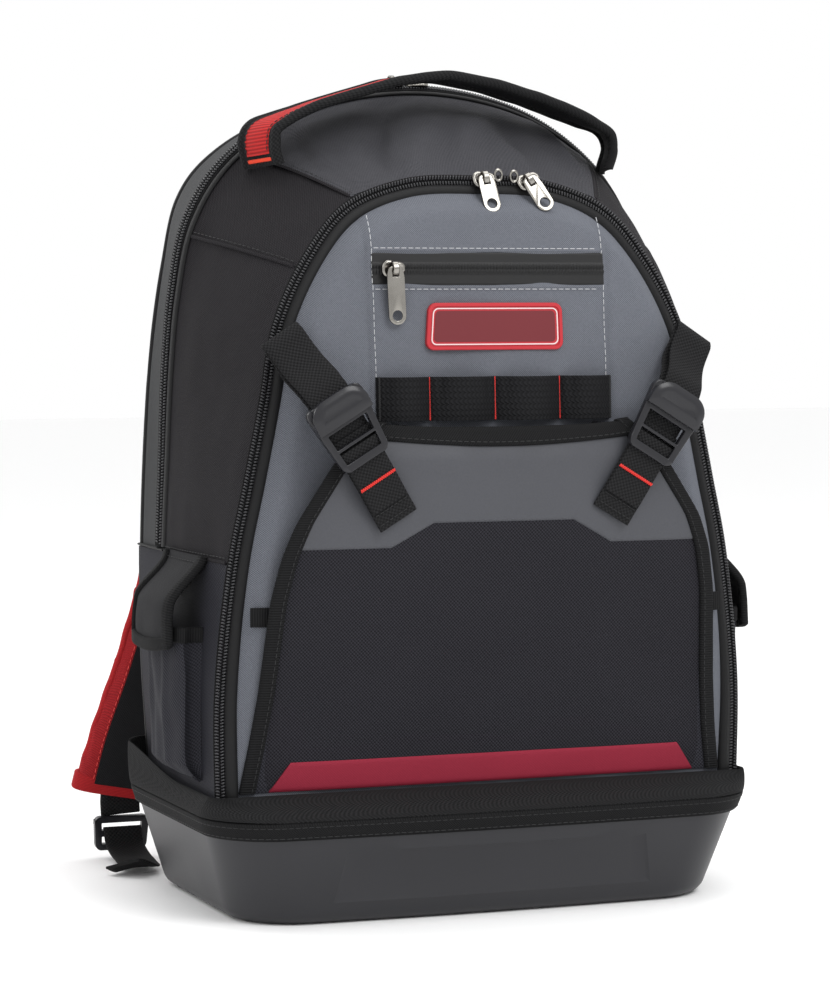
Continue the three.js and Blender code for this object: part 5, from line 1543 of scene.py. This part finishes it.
strap_thread = moulded("strap_thread", rgb(206, 60, 56), 0.5, 0.00002)
strap_red = padding_cloth("strap_red", rgb(176, 38, 42), rgb(104, 16, 22), 0.0013)
strap_edge = woven("strap_edge", rgb(186, 40, 42), rgb(116, 18, 24), 0.001, 0.00012, "rib", 0.7)
lining = woven("strap_lining", rgb(36, 36, 38), rgb(14, 14, 15), 0.0016, 0.00026, roughness=0.85)
for side, word in SIDES:
    rows = [np.array([side * x * STRAP["spread"], STRAP["start"] + y * STRAP["swing"],
                      RIM_Z + (BAG["back_height"] - RIM_Z) * z]) for x, y, z in STRAP_ROWS]

    def strap_side(share):
        return (side, 0.12 * float(smoothstep(share, 0.25, 0.6)), 0)

    pillow = [(STRAP["half"] * math.copysign(abs(math.cos(angle)) ** 0.5, math.cos(angle)),
               STRAP["rise"] * math.copysign(abs(math.sin(angle)) ** 0.8, math.sin(angle)))
              for angle in turns(32)]
    core, line, ways, ups = strip(f"shoulder_pad_{word}", rows, strap_side, pillow, 150,
                                  STRAP_MIDDLE)
    settle(swell(core, 2.2), strap_red, "red_fabric", f"shoulder_strap_{word}")
    outer = ups * np.sign(ups[40, 1])
    for place, aside in (("inner", -1), ("outer", 1)):
        cord = laid(core, line + ways * aside * 22, ways * aside, -1.1)
        for _ in range(4):
            cord[1:-1] = (cord[:-2] + cord[1:-1] * 2 + cord[2:]) / 4
        piece = tube(f"shoulder_edge_{place}_{word}", cord[5:-1], ways[5:-1], ups[5:-1],
                     oval(STRAP["cord"], STRAP["cord"], 10), STRAP_MIDDLE)
        settle(piece, strap_edge, "red_fabric", f"shoulder_strap_{word}")
        run = line + ways * aside * STRAP["seam"]
        seam(f"shoulder_stitches_{place}_{word}", laid(core, run, outer)[4:-6], outer[4:-6],
             black_thread, "red_fabric")
    flat = [laid(core, line + ways * aside, -outer, 0.5)
            for aside in np.linspace(-STRAP["lining"], STRAP["lining"], 15)]
    flat = np.stack(flat, 1)[3:-3]
    sheet = shell(f"shoulder_lining_{word}", flat, (0, 400, 250), thickness=1.1)
    settle(sheet, lining, "dark_fabric", f"shoulder_strap_{word}")
    for place, column, aside in (("inner", 0, -1.2), ("outer", 14, 1.2)):
        seam(f"shoulder_lining_stitches_{place}_{word}", (flat[:, column] + ways[3:-3] * aside),
             -outer[3:-3], strap_thread, "red_fabric")
    sleeve = [(x * 1.02, y * 1.5) for x, y in pillow]
    foot = tube(f"shoulder_foot_{word}", line[-6:], ways[-6:], ups[-6:], sleeve, STRAP_MIDDLE)
    soften(foot, 1.2, 2, 60)
    settle(foot, strap_edge, "red_fabric", f"shoulder_strap_{word}")
    middle = tube(f"shoulder_webbing_{word}", (line + outer * 6.9)[8:-2], ways[8:-2], outer[8:-2],
                  slab(STRAP["webbing"], 1.5, 0.5, 7), STRAP_MIDDLE)
    settle(middle, strap_weave, "black_webbing")
    for aside in (-10.8, 10.8):
        seam(f"shoulder_webbing_stitches_{word}_{'a' if aside < 0 else 'b'}",
             (line + outer * 7.8 + ways * aside)[9:-3], outer[9:-3], black_thread, "black_webbing")

    end = rows[-1]
    hang, *_ = strip(f"strap_loop_webbing_{word}",
                     [(end[0] - side * 3.6, end[1] - 1.5, end[2] + 4),
                      (end[0] - side * 4, end[1] + 0.6, end[2] - 4.6),
                      (end[0] - side * 5, end[1] + 2.6, end[2] - 13.8)],
                     strap_side, slab(STRAP["webbing"], 3.6, 0.8, 6), 24)
    settle(hang, strap_weave, "black_webbing", f"strap_loop_{word}")
    lock = end + np.array([-side * 5, 2, -5.9 - STRAP["loop"] - LOCK["length"] / 2])
    half, reach = LOCK["width"] / 2, LOCK["length"] / 2
    plate = grid_plate(f"strap_lock_{word}", [-half, -half + 4.5, half - 4.5, half],
                       [-reach, -reach + 4, -2, 2, reach - 4, reach], {(1, 1), (1, 3)},
                       LOCK["thick"], 0.92, facing(lock, (1, 0, 0), (0, -0.15, 1)), 4)
    settle(plate, black_plastic, "black_plastic", f"strap_buckle_{word}", angle=35)
    tail, *_ = strip(f"strap_webbing_run_{word}",
                     [(lock[0], lock[1] - 3, lock[2] + 4), (lock[0], lock[1] - 9, lock[2] - 6),
                      (lock[0] + side * 2, lock[1] - 38, 4.2), (lock[0] + side * 6, 106.5, 3.8),
                      (lock[0] + side * 20, 95.5, 8)],
                     lambda share: (1, 0, 0), slab(STRAP["webbing"], 1.6, 0.5, 7), 90, wavy=0.8)
    settle(tail, strap_weave, "black_webbing", f"strap_webbing_{word}")


# Zip sliders and pulls: die-cast and nickel plated. A bridge on the slider holds the pull, whose
# plate is round at both ends with an eye at its foot. Five pulls swing on five sliders, and a small
# ring beside each slider of the front zip takes a padlock.
SLIDER = {"foot": 14, "length": 10, "thick": 2.4, "pin": 4.8}
PULL = {"width": 10.5, "thick": 1.4, "eye": 3.0}
nickel_surface = Surface("nickel")
nickel_where, *_ = nickel_surface.place("Object")
haze = nickel_surface.noise(nickel_where, 60, 3)
grind = nickel_surface.noise(nickel_where, 1500, 2)
nickel = nickel_surface.finish(nickel_surface.mix(haze, rgb(116, 113, 108), rgb(158, 155, 149)),
                               haze * 0.14 + 0.12, grind, 0.00001, 0.5, Metallic=1.0)


def plate_of(name, outline, thick):
    """A flat plate cut to an outline in millimetres, open in object mode"""
    obj = primitive(bpy.ops.mesh.primitive_circle_add, name, (1, 1, 1), vertices=len(outline),
                    radius=1, fill_type="NGON")
    mesh = bmesh.from_edit_mesh(obj.data)
    mesh.verts.ensure_lookup_table()
    for vert, (x, y) in zip(mesh.verts, outline):
        vert.co = Vector((x * MM, y * MM, -thick / 2 * MM))
    bmesh.update_edit_mesh(obj.data)
    bpy.ops.mesh.select_all(action="SELECT")
    bpy.ops.mesh.extrude_region_move(TRANSFORM_OT_translate={"value": (0, 0, thick * MM)})
    bpy.ops.mesh.select_all(action="SELECT")
    bpy.ops.mesh.normals_make_consistent(inside=False)
    bpy.ops.object.mode_set(mode="OBJECT")
    return obj


def pierce(obj, add, scale, place, **options):
    """Cuts a hole through a plate"""
    cutter = primitive(add, "cutter", scale, place, **options)
    bpy.ops.object.mode_set(mode="OBJECT")
    finish_with(obj, "BOOLEAN", object=cutter, operation="DIFFERENCE", solver="EXACT")
    bpy.data.objects.remove(cutter, do_unlink=True)


def pull_shape(length):
    half = PULL["width"] / 2
    side = [(1.2, 1.35), (2.6, 1.2), (3.6, 0.7), (4.2, -0.3), (4.6, -1.6), (5.0, -3.4),
            (half, -5.5), (half, -9)]
    foot = [(half * math.cos(angle), -length + half + half * math.sin(angle))
            for angle in np.linspace(0, -math.pi / 2, 9)[:-1]]
    right = side + foot
    obj = plate_of("pull_shape", right + [(0, -length)] + [(-x, y) for x, y in right[::-1]],
                   PULL["thick"])
    pierce(obj, bpy.ops.mesh.primitive_cylinder_add, (1, 1, 1), (0, (half - length) * MM, 0),
           vertices=28, radius=PULL["eye"] * MM, depth=0.01)
    pierce(obj, bpy.ops.mesh.primitive_cube_add, (4.1 * MM, 3.9 * MM, 0.01), (0, -2.75 * MM, 0),
           size=1)
    soften(obj, 0.28, 3, 40)
    return obj


slider_shape = primitive(bpy.ops.mesh.primitive_cube_add, "slider_shape",
                         (SLIDER["foot"] * MM, SLIDER["length"] * MM, SLIDER["thick"] * MM),
                         (0, 0, SLIDER["thick"] / 2 * MM), size=1)
pick("edges", lambda edge: span(edge, 2) > 1 * MM)
round_off(4.2 * MM, 7)
for vert in bmesh.from_edit_mesh(slider_shape.data).verts:
    if vert.co.x > 2 * MM:
        vert.co.y *= 0.74
pick("faces", lambda face: face.normal.z > 0.9)
bpy.ops.mesh.inset(thickness=0.0011, depth=0.0007)
bpy.ops.mesh.inset(thickness=0.0009, depth=-0.0004)
soften(slider_shape, 0.3, 3, 35)
bridge_shape, *_ = strip(
    "bridge_shape", [(0, -3.9, 2.4), (0, -3.1, 5.4), (0, 0, 7.0), (0, 3.1, 5.4), (0, 3.9, 2.4)],
    lambda share: (1, 0, 0), slab(3.2, 1.1, 0.35, 4), 24, (0, 0, 3))
pull_shapes = {length: pull_shape(length) for length in (32, 22)}


def copied(shape, name, matrix, body, node):
    """A copy of a cast shape with its own mesh, put in place"""
    mesh = shape.data.copy()
    mesh.transform(matrix)
    settle(linked(name, mesh), nickel, "nickel", node, body=body, angle=40)


def zip_slider(name, seat, out, down, length):
    y = -Vector(down).normalized()
    z = Vector(out) - y * Vector(out).dot(y)
    z.normalize()
    turn = Matrix((y.cross(z), y, z)).transposed().to_4x4()
    base = Matrix.Translation(Vector(seat) * MM) @ turn
    copied(slider_shape, f"{name}_slider_body", base, "bag", f"{name}_slider")
    copied(bridge_shape, f"{name}_slider_bridge", base, "bag", f"{name}_slider")
    pin = base @ Matrix.Translation((0, 0, SLIDER["pin"] * MM))
    copied(pull_shapes[length], f"{name}_pull_plate", pin, f"{name}_pull", f"{name}_pull")


zip_slider("pocket_zip", (-60, float(panel_front(-60, ZIP["z"])) - 2.7, ZIP["z"]), (0, -1, 0),
           (0.05, 0, -1), 32)
for name, x, swing, lift, lean in (("left", 4, 0.1, 1.5, 0.4), ("right", 32, 0.5, 2, 0.46)):
    z = BAG["front_height"] - FRONT_ZIP["width"] / 2 - 2.2 * (x / 60) ** 2
    y = float(front_plane(z)) - 1.6 - lift
    zip_slider(f"front_zip_{name}", (x, y, z), (0, -1, 0), (swing, -lean, -1), 22)
    eye_place = Vector((x + (9.2 if name == "left" else -9.2), y - 1.1, z + 3)) * MM
    eye = primitive(bpy.ops.mesh.primitive_torus_add, f"front_zip_{name}_lock_eye", (1, 1, 1),
                    eye_place, rotation=(math.pi / 2, 0, 0), major_radius=2.5 * MM,
                    minor_radius=0.75 * MM, major_segments=28, minor_segments=10)
    bpy.ops.mesh.select_all(action="SELECT")
    bpy.ops.transform.resize(value=(0.9, 1, 1.25), center_override=eye_place)
    settle(eye, nickel, "nickel", angle=40)
rear_seats = np.array([skin(s, BAG["rear_zip"], 1.4) for s in np.arange(-0.2, 0.2, 0.005)])
for name, x in (("left", -14), ("right", 4)):
    seat = rear_seats[np.argmin(np.abs(rear_seats[:, 0] - x))]
    zip_slider(f"rear_zip_{name}", seat, (0, 0, 1), (0, 1, -0.2), 22)
for shape in (slider_shape, bridge_shape, *pull_shapes.values()):
    bpy.data.objects.remove(shape, do_unlink=True)

# Anchor band: a padded black band sewn across the upper back over the ends of both straps.
BAND = {"half": 91, "foot": 419, "height": 37, "puff": 4.2}
band_rows = []
for x in np.linspace(-BAND["half"], BAND["half"], 94):
    over = smoothstep(abs(x), 5, 17) * (1 - smoothstep(abs(x), 82, 90))
    row = []
    for v in np.linspace(0, 1, 20):
        z = BAND["foot"] + BAND["height"] * v - 0.002 * x * x
        lift = over * (STRAP["start"] + 7.6 - back_face(x, z)) * (1 - smoothstep(v, 0.6, 0.98))
        puff = BAND["puff"] * math.sin(math.pi * (0.06 + 0.88 * v)) ** 0.5
        row.append((x, back_face(x, z) + 0.4 + lift + puff, z))
    band_rows.append(row)
band = shell("strap_anchor_band", band_rows, (0, 60, 430), thickness=1.5)
settle(band, lining, "dark_fabric")
band_grid = np.array(band_rows)
behind = same((0, 1, 0), len(band_grid))
for name, column in (("low", 2), ("high", 17)):
    seam(f"strap_anchor_stitches_{name}", band_grid[:, column] + behind * 0.3, behind, black_thread,
         "dark_fabric")
